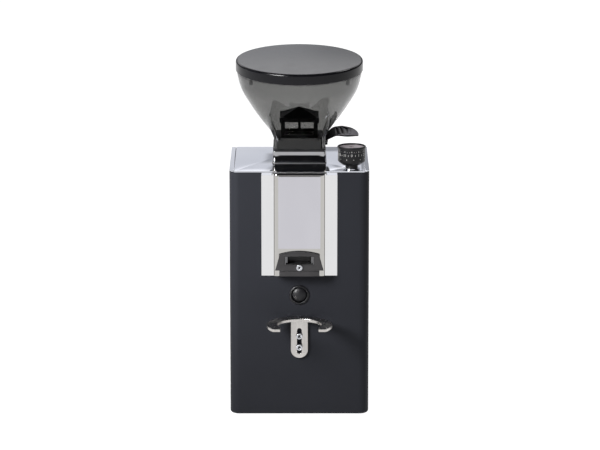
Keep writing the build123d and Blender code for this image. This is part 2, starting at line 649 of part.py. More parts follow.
def bearing(z0):
    outline = Polyline((SHAFT_R + 0.03, 0, 0), (9.0, 0, 0), (9.0, 0, 0.8), (11.2, 0, 0.8), (11.2, 0, 0),
                       (14.0, 0, 0), (14.0, 0, 8), (11.2, 0, 8), (11.2, 0, 7.2), (9.0, 0, 7.2),
                       (9.0, 0, 8), (SHAFT_R + 0.03, 0, 8), close=True)
    return Pos(0, AXIS_Y, z0) * revolve(make_face(outline), Axis.Z)


def stator_core():
    core = square_prism(MOTOR_HALF, 12.0, STATOR_Z0, STATOR_Z1)
    core -= axial(25.4, STATOR_Z0 - 1, STATOR_Z1 + 1)
    return drill_bolts(core)


def stator_windings():
    upper = ring(36.0, 27.5, STATOR_Z1, STATOR_Z1 + 8)
    upper = fillet(upper.faces().sort_by(Axis.Z)[-1].edges(), 3.0)
    lower = ring(36.0, 27.5, STATOR_Z0 - 8, STATOR_Z0)
    lower = fillet(lower.faces().sort_by(Axis.Z)[0].edges(), 3.0)
    return Compound([upper, lower])


def rotor_core():
    core = ring(25.0, SHAFT_R, STATOR_Z0 + 1, STATOR_Z1 - 1)
    for groove in around_axis(Pos(25.0, 0, (STATOR_Z0 + STATOR_Z1) / 2) * Rot(6, 0, 0) * Box(1.2, 1.4, 60), 20):
        core -= groove
    return core


def motor_shaft():
    shaft = axial(SHAFT_R, 64, FLOOR_Z)
    shaft += axial(4.0, FLOOR_Z, BURR_PLANE + 1)
    head = axial(6.4, BURR_PLANE - BURR_T + 4, BURR_PLANE + 1.2)
    return shaft + head


def cooling_fan():
    hub = ring(9.0, SHAFT_R, 64, 77)
    disc = ring(37.0, 8.5, 75.2, 77)
    blades = around_axis(Pos(22.8, 0, 70.2) * Rot(0, 0, 12) * Box(28.0, 1.6, 10.4), 9)
    return fuse([hub, disc] + blades)


def motor_bolts():
    group = []
    for x, y in motor_bolt_places():
        stud = rod(x, y, 1.95, STATOR_Z0 - 14, STATOR_Z1 + 18)
        nut = Pos(x, y, STATOR_Z1 + 14) * extrude(RegularPolygon(3.9, 6), amount=3.2)
        group.append(stud + nut)
    return Compound(group)


def motor_legs():
    return Compound([rod(x, y, 5.0, FOOT_H + SHEET + 2, 74) for x, y in motor_bolt_places()])


def motor_mounts():
    group = []
    for x, y in motor_bolt_places():
        mount = rod(x, y, 7.0, 74, STATOR_Z0 - 14)
        waist = rod(x, y, 9.0, 78, 82) - rod(x, y, 5.6, 78, 82)
        group.append(mount - waist)
    return Compound(group)


# ---- electrics ----------------------------------------------------------------------
def run_capacitor():
    z0 = FOOT_H + SHEET + 2
    can = rod(-44, AXIS_Y, 16, z0, z0 + 46)
    can = fillet(can.edges().sort_by(Axis.Z)[-1:], 2.0)
    tabs = [box(-44 + s * 5 - 0.4, -44 + s * 5 + 0.4, AXIS_Y - 3, AXIS_Y + 3, z0 + 46, z0 + 53) for s in (-1, 1)]
    return fuse([can] + tabs)


def timer_board():
    z0 = FOOT_H + SHEET + 2
    board = box(52, 53.6, AXIS_Y - 26, AXIS_Y + 26, 14, 60)
    relay = box(44, 52, AXIS_Y - 20, AXIS_Y - 2, 34, 50)
    supply = box(40, 52, AXIS_Y + 4, AXIS_Y + 22, 20, 44)
    trimmer = rod_x(AXIS_Y - 11, 24, 3.5, 46, 52)
    stand = box(48, 58, AXIS_Y - 22, AXIS_Y - 16, z0, 16)
    stand += box(48, 58, AXIS_Y + 16, AXIS_Y + 22, z0, 16)
    return fuse([board, relay, supply, trimmer, stand])


def terminal_block():
    z0 = FOOT_H + SHEET + 2
    block = box(-14, 16, BACK - 20, BACK - 8, z0, z0 + 13)
    for i in range(5):
        x = -11 + 6 * i
        block -= rod(x, BACK - 14, 1.9, z0 + 8, z0 + 14)
        block -= box(x - 1.6, x + 1.6, BACK - 21, BACK - 17, z0 + 3, z0 + 7)
    return block


def button_bezel():
    rim = rod_y(0, BUTTON_Z, 9.3, FRONT - 1.6, FRONT)
    rim = fillet(rim.edges().sort_by(Axis.Y)[:1], 0.9)
    bezel = rim + rod_y(0, BUTTON_Z, 8.05, FRONT, FRONT + 10)
    bezel -= rod_y(0, BUTTON_Z, 7.2, FRONT - 3, FRONT + 8.5)
    return bezel - rod_y(0, BUTTON_Z, 2.8, FRONT, FRONT + 12)


def push_button():
    ball_r = 12.0
    dome = Pos(0, FRONT - 2.2 + ball_r, BUTTON_Z) * Sphere(ball_r)
    cap = dome & rod_y(0, BUTTON_Z, 7.0, FRONT - 4, FRONT + 4)
    stem = rod_y(0, BUTTON_Z, 2.5, FRONT + 3.5, FRONT + 7)
    return cap + stem


def microswitch():
    body = box(-10, 10, FRONT + 10, FRONT + 17, BUTTON_Z - 5, BUTTON_Z + 5)
    for x in (-7, 7):
        body -= rod_y(x, BUTTON_Z, 1.5, FRONT + 9, FRONT + 18)
        body += box(x - 2.0, x + 2.0, FRONT + 13, FRONT + 13.8, BUTTON_Z - 9, BUTTON_Z - 5)
    return body


# ---- fork ---------------------------------------------------------------------------
def portafilter_fork():
    centre_y = FRONT - FORK_OUTER_R
    z0 = FORK_TOP - FORK_T
    hoop = rod(0, centre_y, FORK_OUTER_R, z0, FORK_TOP) - rod(0, centre_y, FORK_INNER_R, z0 - 1, FORK_TOP + 1)
    hoop -= box(-FORK_GAP_HALF, FORK_GAP_HALF, FRONT - 70, centre_y, z0 - 1, FORK_TOP + 1)
    hoop -= box(-40, 40, FRONT - 70, FRONT - FORK_REACH, z0 - 1, FORK_TOP + 1)
    corners = [e for e in hoop.edges().filter_by(Axis.Z) if e.center().Y < centre_y]
    hoop = fillet(corners, 1.6)
    root = box(-TAB_HALF, TAB_HALF, FRONT - FORK_T - 2, FRONT - 0.05, z0, FORK_TOP)
    tab = box(-TAB_HALF, TAB_HALF, FRONT - FORK_T, FRONT - 0.05, TAB_BOTTOM + TAB_HALF, FORK_TOP)
    tab += rod_y(0, TAB_BOTTOM + TAB_HALF, TAB_HALF, FRONT - FORK_T, FRONT - 0.05)
    slot = box(-SLOT_R, SLOT_R, FRONT - 6, FRONT + 1, SLOT_BOTTOM + SLOT_R, SLOT_TOP - SLOT_R)
    for z in (SLOT_BOTTOM + SLOT_R, SLOT_TOP - SLOT_R):
        slot += rod_y(0, z, SLOT_R, FRONT - 6, FRONT + 1)
    fork = hoop + root + tab - slot
    return fork - box(-60, 60, FRONT - 0.05, FRONT + 5, z0 - 1, FORK_TOP + 1)


def fork_screws():
    y = FRONT - FORK_T - 0.05
    group = []
    for z in FORK_SCREWS_Z:
        head = fillet(rod_y(0, z, 3.0, y - 2.2, y).edges().sort_by(Axis.Y)[:1], 1.2)
        head -= Pos(0, y - 2.2, z) * Rot(90, 0, 0) * extrude(RegularPolygon(1.4, 6), amount=1.3, both=True)
        group.append(head + rod_y(0, z, 1.9, y, FRONT + 7))
    return Compound(group)


def fork_nut_plate():
    plate = box(-8, 8, FRONT + SHEET, FRONT + SHEET + 3, FORK_SCREWS_Z[1] - 6, FORK_SCREWS_Z[0] + 6)
    for z in FORK_SCREWS_Z:
        plate -= rod_y(0, z, 1.92, FRONT, FRONT + 6)
    return plate


# ---- rear fittings ------------------------------------------------------------------
ROCKER_AXIS_Y = BACK - 3.0


def power_switch():
    housing = box(SWITCH_X - 10.5, SWITCH_X + 10.5, BACK, BACK + 1.6, SWITCH_Z - 14.5, SWITCH_Z + 14.5)
    housing = fillet(housing.edges().filter_by(Axis.Y), 1.5)
    housing += box(SWITCH_X - 9.4, SWITCH_X + 9.4, BACK - 15, BACK, SWITCH_Z - 12.9, SWITCH_Z + 12.9)
    housing -= rod_x(ROCKER_AXIS_Y, SWITCH_Z, 11.0, SWITCH_X - 7.8, SWITCH_X + 7.8)
    for z in (-6, 6):
        housing += box(SWITCH_X - 3.2, SWITCH_X + 3.2, BACK - 21, BACK - 15, SWITCH_Z + z - 0.4, SWITCH_Z + z + 0.4)
    return housing


def power_rocker():
    rocker = rod_x(ROCKER_AXIS_Y, SWITCH_Z, 10.6, SWITCH_X - 7.5, SWITCH_X + 7.5)
    face = [(BACK - 1.0, SWITCH_Z - 14), (BACK + 2.0, SWITCH_Z - 14), (BACK + 2.0, SWITCH_Z),
            (BACK + 4.6, SWITCH_Z + 14), (BACK - 1.0, SWITCH_Z + 14)]
    keep = prism_x(face, SWITCH_X - 8, SWITCH_X + 8)
    rear = box(SWITCH_X - 8, SWITCH_X + 8, BACK - 8, BACK - 1.0, SWITCH_Z - 14, SWITCH_Z + 14)
    return rocker & (keep + rear)


def cord_gland():
    gland = rod_y(GLAND_X, GLAND_Z, 8.5, BACK, BACK + 2.5)
    nose = Pos(GLAND_X, BACK + REAR_REACH / 2 + 1.0, GLAND_Z) * Rot(-90, 0, 0) * Cone(7.0, 5.4, REAR_REACH - 2.0)
    gland += nose
    gland += rod_y(GLAND_X, GLAND_Z, 5.9, BACK - 4, BACK)
    gland += rod_y(GLAND_X, GLAND_Z, 7.6, BACK - 8, BACK - 2 * SHEET + 0.1)
    return gland - rod_y(GLAND_X, GLAND_Z, GLAND_BORE_R, BACK - 12, BACK + 12)


def build():
    upper_back = BURR_PLANE + BURR_GAP + BURR_T
    lower_back = BURR_PLANE - BURR_T
    nodes = {
        "front_casing": front_casing(),
        "rear_panel": rear_panel(),
        "rear_panel_screws": rear_panel_screws(),
        "base_plate": base_plate(),
        "feet": feet(),
        "foot_screws": foot_screws(),
        "top_plate": top_plate(),
        "front_insert": front_insert(),
        "chute_cover": chute_cover(),
        "chute_duct": chute_duct(),
        "spout": spout(),
        "spout_frame": spout_frame(),
        "spout_screw": spout_screw(),
        "neck_block": neck_block(),
        "socket_seal": socket_seal(),
        "hopper_base": hopper_base(),
        "hopper_bowl": hopper_bowl(),
        "hopper_lid": hopper_lid(),
        "hopper_gate": hopper_gate(),
        "finger_guard": finger_guard(),
        "adjust_knob": adjust_knob(),
        "dial_disc": dial_disc(),
        "adjust_spindle": adjust_spindle(),
        "knob_bushing": knob_bushing(),
        "adjust_nut": adjust_nut(),
        "yoke_lever": yoke_lever(),
        "lever_bracket": lever_bracket(),
        "grinding_chamber": grinding_chamber(),
        "chamber_screws": chamber_screws(),
        "upper_burr_carrier": upper_burr_carrier(),
        "upper_burr": burr(BURR_PLANE + BURR_GAP, upper_back),
        "upper_burr_screws": burr_screws(BURR_PLANE + BURR_GAP + 2, upper_back + 4.4),
        "carrier_springs": carrier_springs(),
        "lower_burr_carrier": lower_burr_carrier(),
        "lower_burr": burr(BURR_PLANE, lower_back),
        "lower_burr_screws": burr_screws(BURR_PLANE - 2, lower_back - 3.6),
        "motor_flange_top": motor_flange_top(),
        "motor_flange_bottom": motor_flange_bottom(),
        "bearing_top": bearing(FLOOR_Z - 12),
        "bearing_bottom": bearing(STATOR_Z0 - 20),
        "stator_core": stator_core(),
        "stator_windings": stator_windings(),
        "rotor_core": rotor_core(),
        "motor_shaft": motor_shaft(),
        "cooling_fan": cooling_fan(),
        "motor_bolts": motor_bolts(),
        "motor_legs": motor_legs(),
        "motor_mounts": motor_mounts(),
        "run_capacitor": run_capacitor(),
        "timer_board": timer_board(),
        "terminal_block": terminal_block(),
        "button_bezel": button_bezel(),
        "push_button": push_button(),
        "microswitch": microswitch(),
        "portafilter_fork": portafilter_fork(),
        "fork_screws": fork_screws(),
        "fork_nut_plate": fork_nut_plate(),
        "power_switch": power_switch(),
        "power_rocker": power_rocker(),
        "cord_gland": cord_gland(),
    }
    return nodes


def main():
    os.makedirs("parts", exist_ok=True)
    for node, shape in build().items():
        save(shape, node)


main()
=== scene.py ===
import json
import math

import bmesh
import bpy
from mathutils import Matrix, Vector

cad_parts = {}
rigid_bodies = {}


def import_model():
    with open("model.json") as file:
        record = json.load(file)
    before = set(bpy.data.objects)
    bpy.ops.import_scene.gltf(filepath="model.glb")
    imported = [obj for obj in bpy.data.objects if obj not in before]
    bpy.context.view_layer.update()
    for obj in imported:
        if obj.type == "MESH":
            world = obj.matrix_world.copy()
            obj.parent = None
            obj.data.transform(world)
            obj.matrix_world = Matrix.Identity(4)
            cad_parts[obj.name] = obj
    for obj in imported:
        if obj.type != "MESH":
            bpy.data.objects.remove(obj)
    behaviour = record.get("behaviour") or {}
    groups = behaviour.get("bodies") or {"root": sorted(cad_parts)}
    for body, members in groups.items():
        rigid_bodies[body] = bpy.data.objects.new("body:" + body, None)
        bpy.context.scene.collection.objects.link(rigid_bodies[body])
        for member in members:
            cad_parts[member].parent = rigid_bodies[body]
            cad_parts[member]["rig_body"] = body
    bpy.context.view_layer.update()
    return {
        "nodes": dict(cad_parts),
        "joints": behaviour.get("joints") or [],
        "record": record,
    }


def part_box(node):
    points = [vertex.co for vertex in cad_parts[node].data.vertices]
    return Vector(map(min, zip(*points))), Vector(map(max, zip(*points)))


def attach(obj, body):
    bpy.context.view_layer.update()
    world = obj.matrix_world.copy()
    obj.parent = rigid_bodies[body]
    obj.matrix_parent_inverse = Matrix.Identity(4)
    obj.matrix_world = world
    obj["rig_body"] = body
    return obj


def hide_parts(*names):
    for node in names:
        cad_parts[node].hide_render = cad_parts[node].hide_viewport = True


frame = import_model()

MM = 0.001
nodes = frame["nodes"]
record = frame["record"]
joints = {j["name"]: j for j in frame["joints"]}
slot_of = {s["node"]: s["material_slot"] for s in record["subparts"]}


# ---- places, in millimetres, read from the frame ---------------------------------------
def corners(node):
    """Lowest and highest corner of a CAD node's box."""
    low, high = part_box(node)
    return low / MM, high / MM


def box_centre(node):
    low, high = corners(node)
    return (low + high) / 2


case_lo, case_hi = corners("front_casing")
FRONT = case_lo.y
BACK = case_hi.y
HALF_W = case_hi.x
TOP = corners("top_plate")[1].z
AXIS_Y = box_centre("lower_burr").y
COVER_FRONT = corners("chute_cover")[0].y
LID_AXIS = Vector(joints["lid_lift"]["axis"]).normalized()
RIM_TILT = math.atan2(-LID_AXIS.y, LID_AXIS.z)
RIM_Z = 85.3                   # rim plane above the top plate, on the hopper axis
SHEET = 1.2                    # thickness of the top plate
FACE_FRONT = Matrix.Rotation(math.radians(90), 4, "X")      # local +Z points to -Y


# ---- node-tree helpers -----------------------------------------------------------------
class Tree:
    """Short names for building one material's nodes. Lengths are in metres."""

    def __init__(self, name):
        self.material = bpy.data.materials.new(name)
        self.material.use_nodes = True
        self.nodes = self.material.node_tree.nodes
        self.links = self.material.node_tree.links
        self.shader = self.nodes["Principled BSDF"]

    def set(self, **values):
        for key, value in values.items():
            self.shader.inputs[key.replace("_", " ")].default_value = value

    def new(self, kind, **settings):
        node = self.nodes.new(kind)
        for key, value in settings.items():
            if key in node.inputs:
                node.inputs[key].default_value = value
            else:
                setattr(node, key, value)
        return node

    def join(self, out, into):
        self.links.new(out, into)

    def position(self, scale=(1, 1, 1)):
        """Object coordinates, stretched along an axis where its scale is small."""
        coords = self.new("ShaderNodeTexCoord")
        mapping = self.new("ShaderNodeMapping")
        mapping.inputs["Scale"].default_value = scale
        self.join(coords.outputs["Object"], mapping.inputs["Vector"])
        return mapping.outputs["Vector"]

    def noise(self, scale, detail=4.0, stretch=(1, 1, 1), rough=0.5):
        node = self.new("ShaderNodeTexNoise", Scale=scale, Detail=detail, Roughness=rough)
        self.join(self.position(stretch), node.inputs["Vector"])
        return node.outputs["Fac"]

    def ramp(self, value, low, high, start=0.3, end=0.7):
        """A number from low to high while value goes from start to end."""
        node = self.new("ShaderNodeMapRange")
        for key, number in (("From Min", start), ("From Max", end), ("To Min", low), ("To Max", high)):
            node.inputs[key].default_value = number
        self.join(value, node.inputs["Value"])
        return node.outputs["Result"]

    def tint(self, value, dark, light, start=0.3, end=0.7):
        """A colour from dark to light while value goes from start to end."""
        node = self.new("ShaderNodeValToRGB")
        node.color_ramp.elements[0].position = start
        node.color_ramp.elements[0].color = (*dark, 1)
        node.color_ramp.elements[1].position = end
        node.color_ramp.elements[1].color = (*light, 1)
        self.join(value, node.inputs["Fac"])
        return node.outputs["Color"]

    def bump(self, height, distance, strength=1.0, under=None):
        node = self.new("ShaderNodeBump", Strength=strength, Distance=distance)
        self.join(height, node.inputs["Height"])
        if under is not None:
            self.join(under, node.inputs["Normal"])
        return node.outputs["Normal"]

    def finish(self, color=None, roughness=None, normal=None):
        if color is not None:
            self.join(color, self.shader.inputs["Base Color"])
        if roughness is not None:
            self.join(roughness, self.shader.inputs["Roughness"])
        if normal is not None:
            self.join(normal, self.shader.inputs["Normal"])
        return self.material


def shade(color, factor):
    return tuple(c * factor for c in color)


# ---- materials -------------------------------------------------------------------------
def powder_coat(name, color):
    """Matte powder coat: fine orange-peel grain with slight tone and gloss changes."""
    t = Tree(name)
    t.set(Metallic=0.0, IOR=1.16)
    cloud = t.noise(14.0, 3.0)
    grain = t.noise(2600.0, 2.0)
    peel = t.noise(700.0, 3.0)
    normal = t.bump(grain, 0.00006, 0.5, t.bump(peel, 0.00012, 0.35))
    return t.finish(t.tint(cloud, shade(color, 0.96), shade(color, 1.04)),
                    t.ramp(peel, 0.40, 0.48), normal)


def polished(name, color, rough=0.05, smear=0.05):
    """Mirror-polished stainless steel with faint smears and hairline polishing marks."""
    t = Tree(name)
    t.set(Metallic=1.0)
    smears = t.noise(38.0, 5.0, (1, 1, 0.35), 0.6)
    hairs = t.noise(420.0, 3.0, (1, 1, 0.03))
    normal = t.bump(hairs, 0.000004, 0.05)
    return t.finish(t.tint(smears, shade(color, 0.97), color),
                    t.ramp(smears, rough, rough + smear, 0.45, 0.8), normal)


def brushed(name, color, rough=0.28, along="x", scale=900.0, depth=0.00003):
    """Brushed metal: noise drawn out along one axis, in tone, roughness and bump."""
    t = Tree(name)
    t.set(Metallic=1.0, Anisotropic=0.5)
    stretch = {"x": (0.03, 1, 1), "y": (1, 0.03, 1), "z": (1, 1, 0.03)}[along]
    lines = t.noise(scale, 4.0, stretch, 0.65)
    wear = t.noise(60.0, 4.0)
    return t.finish(t.tint(lines, shade(color, 0.86), shade(color, 1.06)),
                    t.ramp(wear, rough - 0.05, rough + 0.08), t.bump(lines, depth, 0.6))


def cast(name, color, metallic=1.0, rough=0.5):
    """Blasted or satin metal: pitted grain and uneven tone."""
    t = Tree(name)
    t.set(Metallic=metallic)
    grain = t.noise(1500.0, 3.0)
    cloud = t.noise(45.0, 4.0)
    return t.finish(t.tint(cloud, shade(color, 0.82), color), t.ramp(grain, rough - 0.08, rough + 0.1),
                    t.bump(grain, 0.0001, 0.6))


def moulded(name, color, rough=0.42, grain=1800.0, depth=0.00004, ior=1.45):
    """Moulded plastic with a fine spark-eroded texture."""
    t = Tree(name)
    t.set(Metallic=0.0, IOR=ior)
    fine = t.noise(grain, 3.0)
    cloud = t.noise(70.0, 3.0)
    return t.finish(t.tint(cloud, shade(color, 0.85), shade(color, 1.15)),
                    t.ramp(cloud, rough * 0.92, rough * 1.10), t.bump(fine, depth, 0.5))


def worn_top(name, dark, color, rough=0.42):
    """Moulded grip with painted light: faces that point up are painted lighter grey as if lit from above,
    sides and underside painted black as shade.
    """
    t = Tree(name)
    t.set(Metallic=0.0, IOR=1.36)
    fine = t.noise(1800.0, 3.0)
    up = t.new("ShaderNodeSeparateXYZ")
    t.join(t.new("ShaderNodeNewGeometry").outputs["Normal"], up.inputs["Vector"])
    return t.finish(t.tint(up.outputs["Z"], dark, color, 0.25, 0.85),
                    t.ramp(fine, rough - 0.04, rough + 0.06), t.bump(fine, 0.00004, 0.5))


def rubber(name, color):
    """Dull rubber with a fine mottle."""
    t = Tree(name)
    t.set(Metallic=0.0, Specular_IOR_Level=0.3, Sheen_Weight=0.15)
    fine = t.noise(900.0, 5.0)
    return t.finish(t.tint(fine, shade(color, 0.8), shade(color, 1.3)), t.ramp(fine, 0.7, 0.85),
                    t.bump(fine, 0.0002, 0.5))


def smoked_clear(name, color, density):
    """Smoked transparent moulding: the wall absorbs light, with faint flow marks and haze."""
    t = Tree(name)
    t.set(Metallic=0.0, Transmission_Weight=1.0, IOR=1.40)
    flow = t.noise(22.0, 3.0, (1, 1, 0.3))
    haze = t.noise(160.0, 4.0)
    smoke = t.new("ShaderNodeVolumeAbsorption", Density=density)
    smoke.inputs["Color"].default_value = (0.0, 0.0, 0.02, 1)
    t.join(smoke.outputs["Volume"], t.nodes["Material Output"].inputs["Volume"])
    return t.finish(t.tint(flow, shade(color, 0.97), color), t.ramp(haze, 0.01, 0.04, 0.5, 0.85),
                    t.bump(flow, 0.0002, 0.06))


def laminated(name, color):
    """Stacked sheet laminations: fine horizontal bands with scale between them."""
    t = Tree(name)
    t.set(Metallic=0.7)
    wave = t.new("ShaderNodeTexWave", Scale=320.0, Distortion=0.4)
    wave.bands_direction = "Z"
    t.join(t.position(), wave.inputs["Vector"])
    rust = t.noise(90.0, 5.0)
    return t.finish(t.tint(rust, shade(color, 0.7), shade(color, 1.3)), t.ramp(rust, 0.45, 0.7),
                    t.bump(wave.outputs["Fac"], 0.0003, 0.8))


def wound(name, color):
    """Varnished copper winding: turns round the motor axis."""
    t = Tree(name)
    t.set(Metallic=0.85, Coat_Weight=0.4)
    turns = t.noise(1400.0, 2.0, (0.08, 0.08, 1))
    return t.finish(t.tint(turns, shade(color, 0.55), color), t.ramp(turns, 0.25, 0.4),
                    t.bump(turns, 0.0006, 0.9))


def make_materials():
    """A procedural finish for each material slot, then for pieces that differ from their slot."""
    return {
        "casing_paint": powder_coat("casing_paint", (0.0150, 0.0158, 0.0195)),
        "polished_steel": polished("polished_steel", (0.70, 0.715, 0.765)),
        "satin_steel": brushed("satin_steel", (0.53, 0.51, 0.49), 0.26, "z", 700.0, 0.00002),
        "zinc_steel": brushed("zinc_steel", (0.60, 0.61, 0.64), 0.25, "z", 400.0),
        "black_plastic": moulded("black_plastic", (0.012, 0.012, 0.0125), 0.34, 1800.0, 0.00003, 1.38),
        "gloss_black": moulded("gloss_black", (0.006, 0.006, 0.007), 0.40, 900.0, 0.00001, 1.36),
        "smoked_clear": smoked_clear("smoked_clear", (0.60, 0.60, 0.585), 235.0),
        "lid_plastic": moulded("lid_plastic", (0.004, 0.004, 0.005), 0.20, 1500.0, 0.000004, 1.28),
        "knob_black": moulded("knob_black", (0.008, 0.008, 0.009), 0.36, 1800.0, 0.00004, 1.28),
        "dial_metal": brushed("dial_metal", (0.35, 0.30, 0.312), 0.34, "x"),
        "rubber": rubber("rubber", (0.02, 0.02, 0.02)),
        "cast_aluminium": cast("cast_aluminium", (0.62, 0.63, 0.65)),
        "burr_steel": brushed("burr_steel", (0.50, 0.50, 0.52), 0.24, "x", 500.0),
        "brass_nut": brushed("brass_nut", (0.72, 0.52, 0.25), 0.3, "x", 300.0),
        "lamination": laminated("lamination", (0.18, 0.18, 0.20)),
        "copper_winding": wound("copper_winding", (0.66, 0.30, 0.12)),
        "board_green": moulded("board_green", (0.03, 0.16, 0.06), 0.3),
        "white_nylon": moulded("white_nylon", (0.70, 0.69, 0.64), 0.45),
        "fan_plastic": moulded("fan_plastic", (0.05, 0.06, 0.07), 0.5),
        "spring_steel": brushed("spring_steel", (0.45, 0.45, 0.47), 0.22, "z", 300.0),
        "panel_steel": polished("panel_steel", (0.49, 0.48, 0.46), 0.06, 0.03),
        "panel_film": polished("panel_film", (0.545, 0.538, 0.575), 0.12, 0.03),
        "insert_steel": polished("insert_steel", (0.71, 0.71, 0.715), 0.06, 0.03),
        "block_steel": polished("block_steel", (0.37, 0.37, 0.38), 0.04, 0.02),
        "spout_plastic": moulded("spout_plastic", (0.020, 0.019, 0.020), 0.32, 1800.0, 0.00003, 1.42),
        # the paddle's top is painted lighter as if lit from above, its sides and underside painted dark as
        # shade
        "paddle_plastic": worn_top("paddle_plastic", (0.002, 0.002, 0.002), (0.095, 0.092, 0.101)),
        "bead_satin": cast("bead_satin", (0.085, 0.086, 0.092), 0.3, 0.5),
        # grey strip painted as the socket block's reflection in the chute bridge
        "painted_bridge_reflection": cast("painted_bridge_reflection", (0.16, 0.16, 0.17), 0.3, 0.5),
        "frame_steel": polished("frame_steel", (0.16, 0.16, 0.165), 0.25, 0.05),
        # near-black finish for discs and linings painted as the shade in sockets and in the spout window
        "painted_recess_shade": moulded("painted_recess_shade", (0.004, 0.004, 0.004), 0.6),
        "print_white": moulded("print_white", (0.40, 0.40, 0.39), 0.5),
    }


mats = make_materials()


# ---- mesh helpers ----------------------------------------------------------------------
def dress(obj, node, material, sharp):
    """Smooth shading, the finish, and the body of a CAD node."""
    for poly in obj.data.polygons:
        poly.use_smooth = True
    obj.data.set_sharp_from_angle(angle=math.radians(sharp))
    obj.data.materials.clear()
    obj.data.materials.append(mats[material])
    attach(obj, nodes[node]["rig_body"])


def place_piece(obj, node, material, sharp=35.0):
    """A piece that stands for a CAD node."""
    dress(obj, node, material, sharp)
    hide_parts(node)


def trim_piece(obj, node, material):
    """A detail that rides with a CAD node but stands for none."""
    dress(obj, node, material, 35.0)


def add_object(name, data):
    obj = bpy.data.objects.new(name, data)
    bpy.context.scene.collection.objects.link(obj)
    return obj


def finished_mesh(obj):
    """The mesh of an object after its modifiers, or of a curve or text."""
    bpy.context.view_layer.update()
    return bpy.data.meshes.new_from_object(obj.evaluated_get(bpy.context.evaluated_depsgraph_get()))


def weld(mesh, distance):
    """Merges doubled points and turns every face outwards."""
    bm = bmesh.new()
    bm.from_mesh(mesh)
    bmesh.ops.remove_doubles(bm, verts=bm.verts, dist=distance)
    bmesh.ops.recalc_face_normals(bm, faces=bm.faces)
    bm.to_mesh(mesh)
    bm.free()


def mesh_object(name, verts, faces):
    """An object from points in millimetres."""
    mesh = bpy.data.meshes.new(name)
    mesh.from_pydata([Vector(v) * MM for v in verts], [], faces)
    mesh.validate()
    weld(mesh, 1e-7)
    return add_object(name, mesh)


def join_pieces(name, parts):
    """Several objects as one mesh; the parts are removed."""
    bm = bmesh.new()
    for part in parts:
        part.data.transform(part.matrix_world)
        bm.from_mesh(part.data)
        bpy.data.objects.remove(part)
    mesh = bpy.data.meshes.new(name)
    bm.to_mesh(mesh)
    bm.free()
    return add_object(name, mesh)


def turn(obj, matrix):
    """Moves a piece's mesh; the object itself stays at the origin."""
    obj.data.transform(matrix)
    return obj


def shift_mm(x, y, z):
    return Matrix.Translation(Vector((x, y, z)) * MM)


def round_profile(points, radius, steps=5):
    """A closed profile with rounded corners, tighter where an edge is short."""
    result = []
    count = len(points)
    for i, here in enumerate(points):
        before, after = Vector(points[i - 1]), Vector(points[(i + 1) % count])
        here = Vector(here)
        a, b = before - here, after - here
        cut = min(radius, 0.45 * a.length, 0.45 * b.length)
        start, end = here + a.normalized() * cut, here + b.normalized() * cut
        for k in range(steps + 1):
            t = k / steps
            result.append((1 - t) ** 2 * start + 2 * t * (1 - t) * here + t ** 2 * end)
    return result


def lathe(name, profile, steps=128, closed=True):
    """Turns a list of (radius, height) about local Z. Points at radius 0 close the ends."""
    verts, faces, rows = [], [], []
    for r, z in profile:
        if r < 1e-6:
            rows.append([len(verts)])
            verts.append((0, 0, z))
        else:
            rows.append(list(range(len(verts), len(verts) + steps)))
            verts += [(x, y, z) for x, y in circle_loop(0, 0, r, steps)]
    pairs = list(zip(rows, rows[1:]))
    if closed:
        pairs.append((rows[-1], rows[0]))
    for low, high in pairs:
        for k in range(steps):
            n = (k + 1) % steps
            quad = [low[k % len(low)], low[n % len(low)], high[n % len(high)], high[k % len(high)]]
            corner = list(dict.fromkeys(quad))
            if len(corner) > 2:
                faces.append(corner)
    return mesh_object(name, verts, faces)


def rod(name, radius, z0, z1, steps):
    """A cylinder about local Z, or a prism when it has few steps."""
    return lathe(name, [(0, z0), (radius, z0), (radius, z1), (0, z1)], steps, closed=False)


def circle_loop(cx, cy, r, steps):
    return [(cx + r * math.cos(2 * math.pi * k / steps), cy + r * math.sin(2 * math.pi * k / steps))
            for k in range(steps)]


def arc(cx, cy, r, start, sweep, steps):
    """Points on an arc; angles in degrees."""
    angles = [math.radians(start + sweep * k / steps) for k in range(steps + 1)]
    return [(cx + r * math.cos(a), cy + r * math.sin(a)) for a in angles]


def rounded_rect(x0, x1, y0, y1, r, steps=8):
    return (arc(x1 - r, y1 - r, r, 0, 90, steps) + arc(x0 + r, y1 - r, r, 90, 90, steps)
            + arc(x0 + r, y0 + r, r, 180, 90, steps) + arc(x1 - r, y0 + r, r, 270, 90, steps))


def plate(name, loops, z0, z1, bevel=0.3, steps=3):
    """A plate with holes and rounded edges: outlines in local XY, solid from z0 to z1."""
    curve = bpy.data.curves.new(name, "CURVE")
    curve.dimensions = "2D"
    curve.fill_mode = "BOTH"
    for loop in loops:
        spline = curve.splines.new("POLY")
        spline.points.add(len(loop) - 1)
        for point, (x, y) in zip(spline.points, loop):
            point.co = (x * MM, y * MM, 0, 1)
        spline.use_cyclic_u = True
    curve.bevel_depth = bevel * MM
    curve.bevel_resolution = steps
    curve.offset = -bevel * MM
    curve.extrude = ((z1 - z0) / 2 - bevel) * MM
    holder = add_object(name + "_outline", curve)
    mesh = finished_mesh(holder)
    bpy.data.objects.remove(holder)
    bpy.data.curves.remove(curve)
    weld(mesh, 2e-6)
    mesh.transform(Matrix.Translation((0, 0, (z0 + z1) / 2 * MM)))
    mesh.name = name
    return add_object(name, mesh)


def loft_rings(name, rings, close_ends=True):
    """Joins rings of equal length, each a list of (x, y, z), into a closed skin."""
    steps = len(rings[0])
    verts = [v for ring in rings for v in ring]
    faces = []
    for i in range(len(rings) - 1):
        for k in range(steps):
            n = (k + 1) % steps
            low, high = i * steps, (i + 1) * steps
            faces.append((low + k, low + n, high + n, high + k))
    if close_ends:
        faces.append(tuple(range(steps - 1, -1, -1)))
        faces.append(tuple(range((len(rings) - 1) * steps, len(rings) * steps)))
    return mesh_object(name, verts, faces)


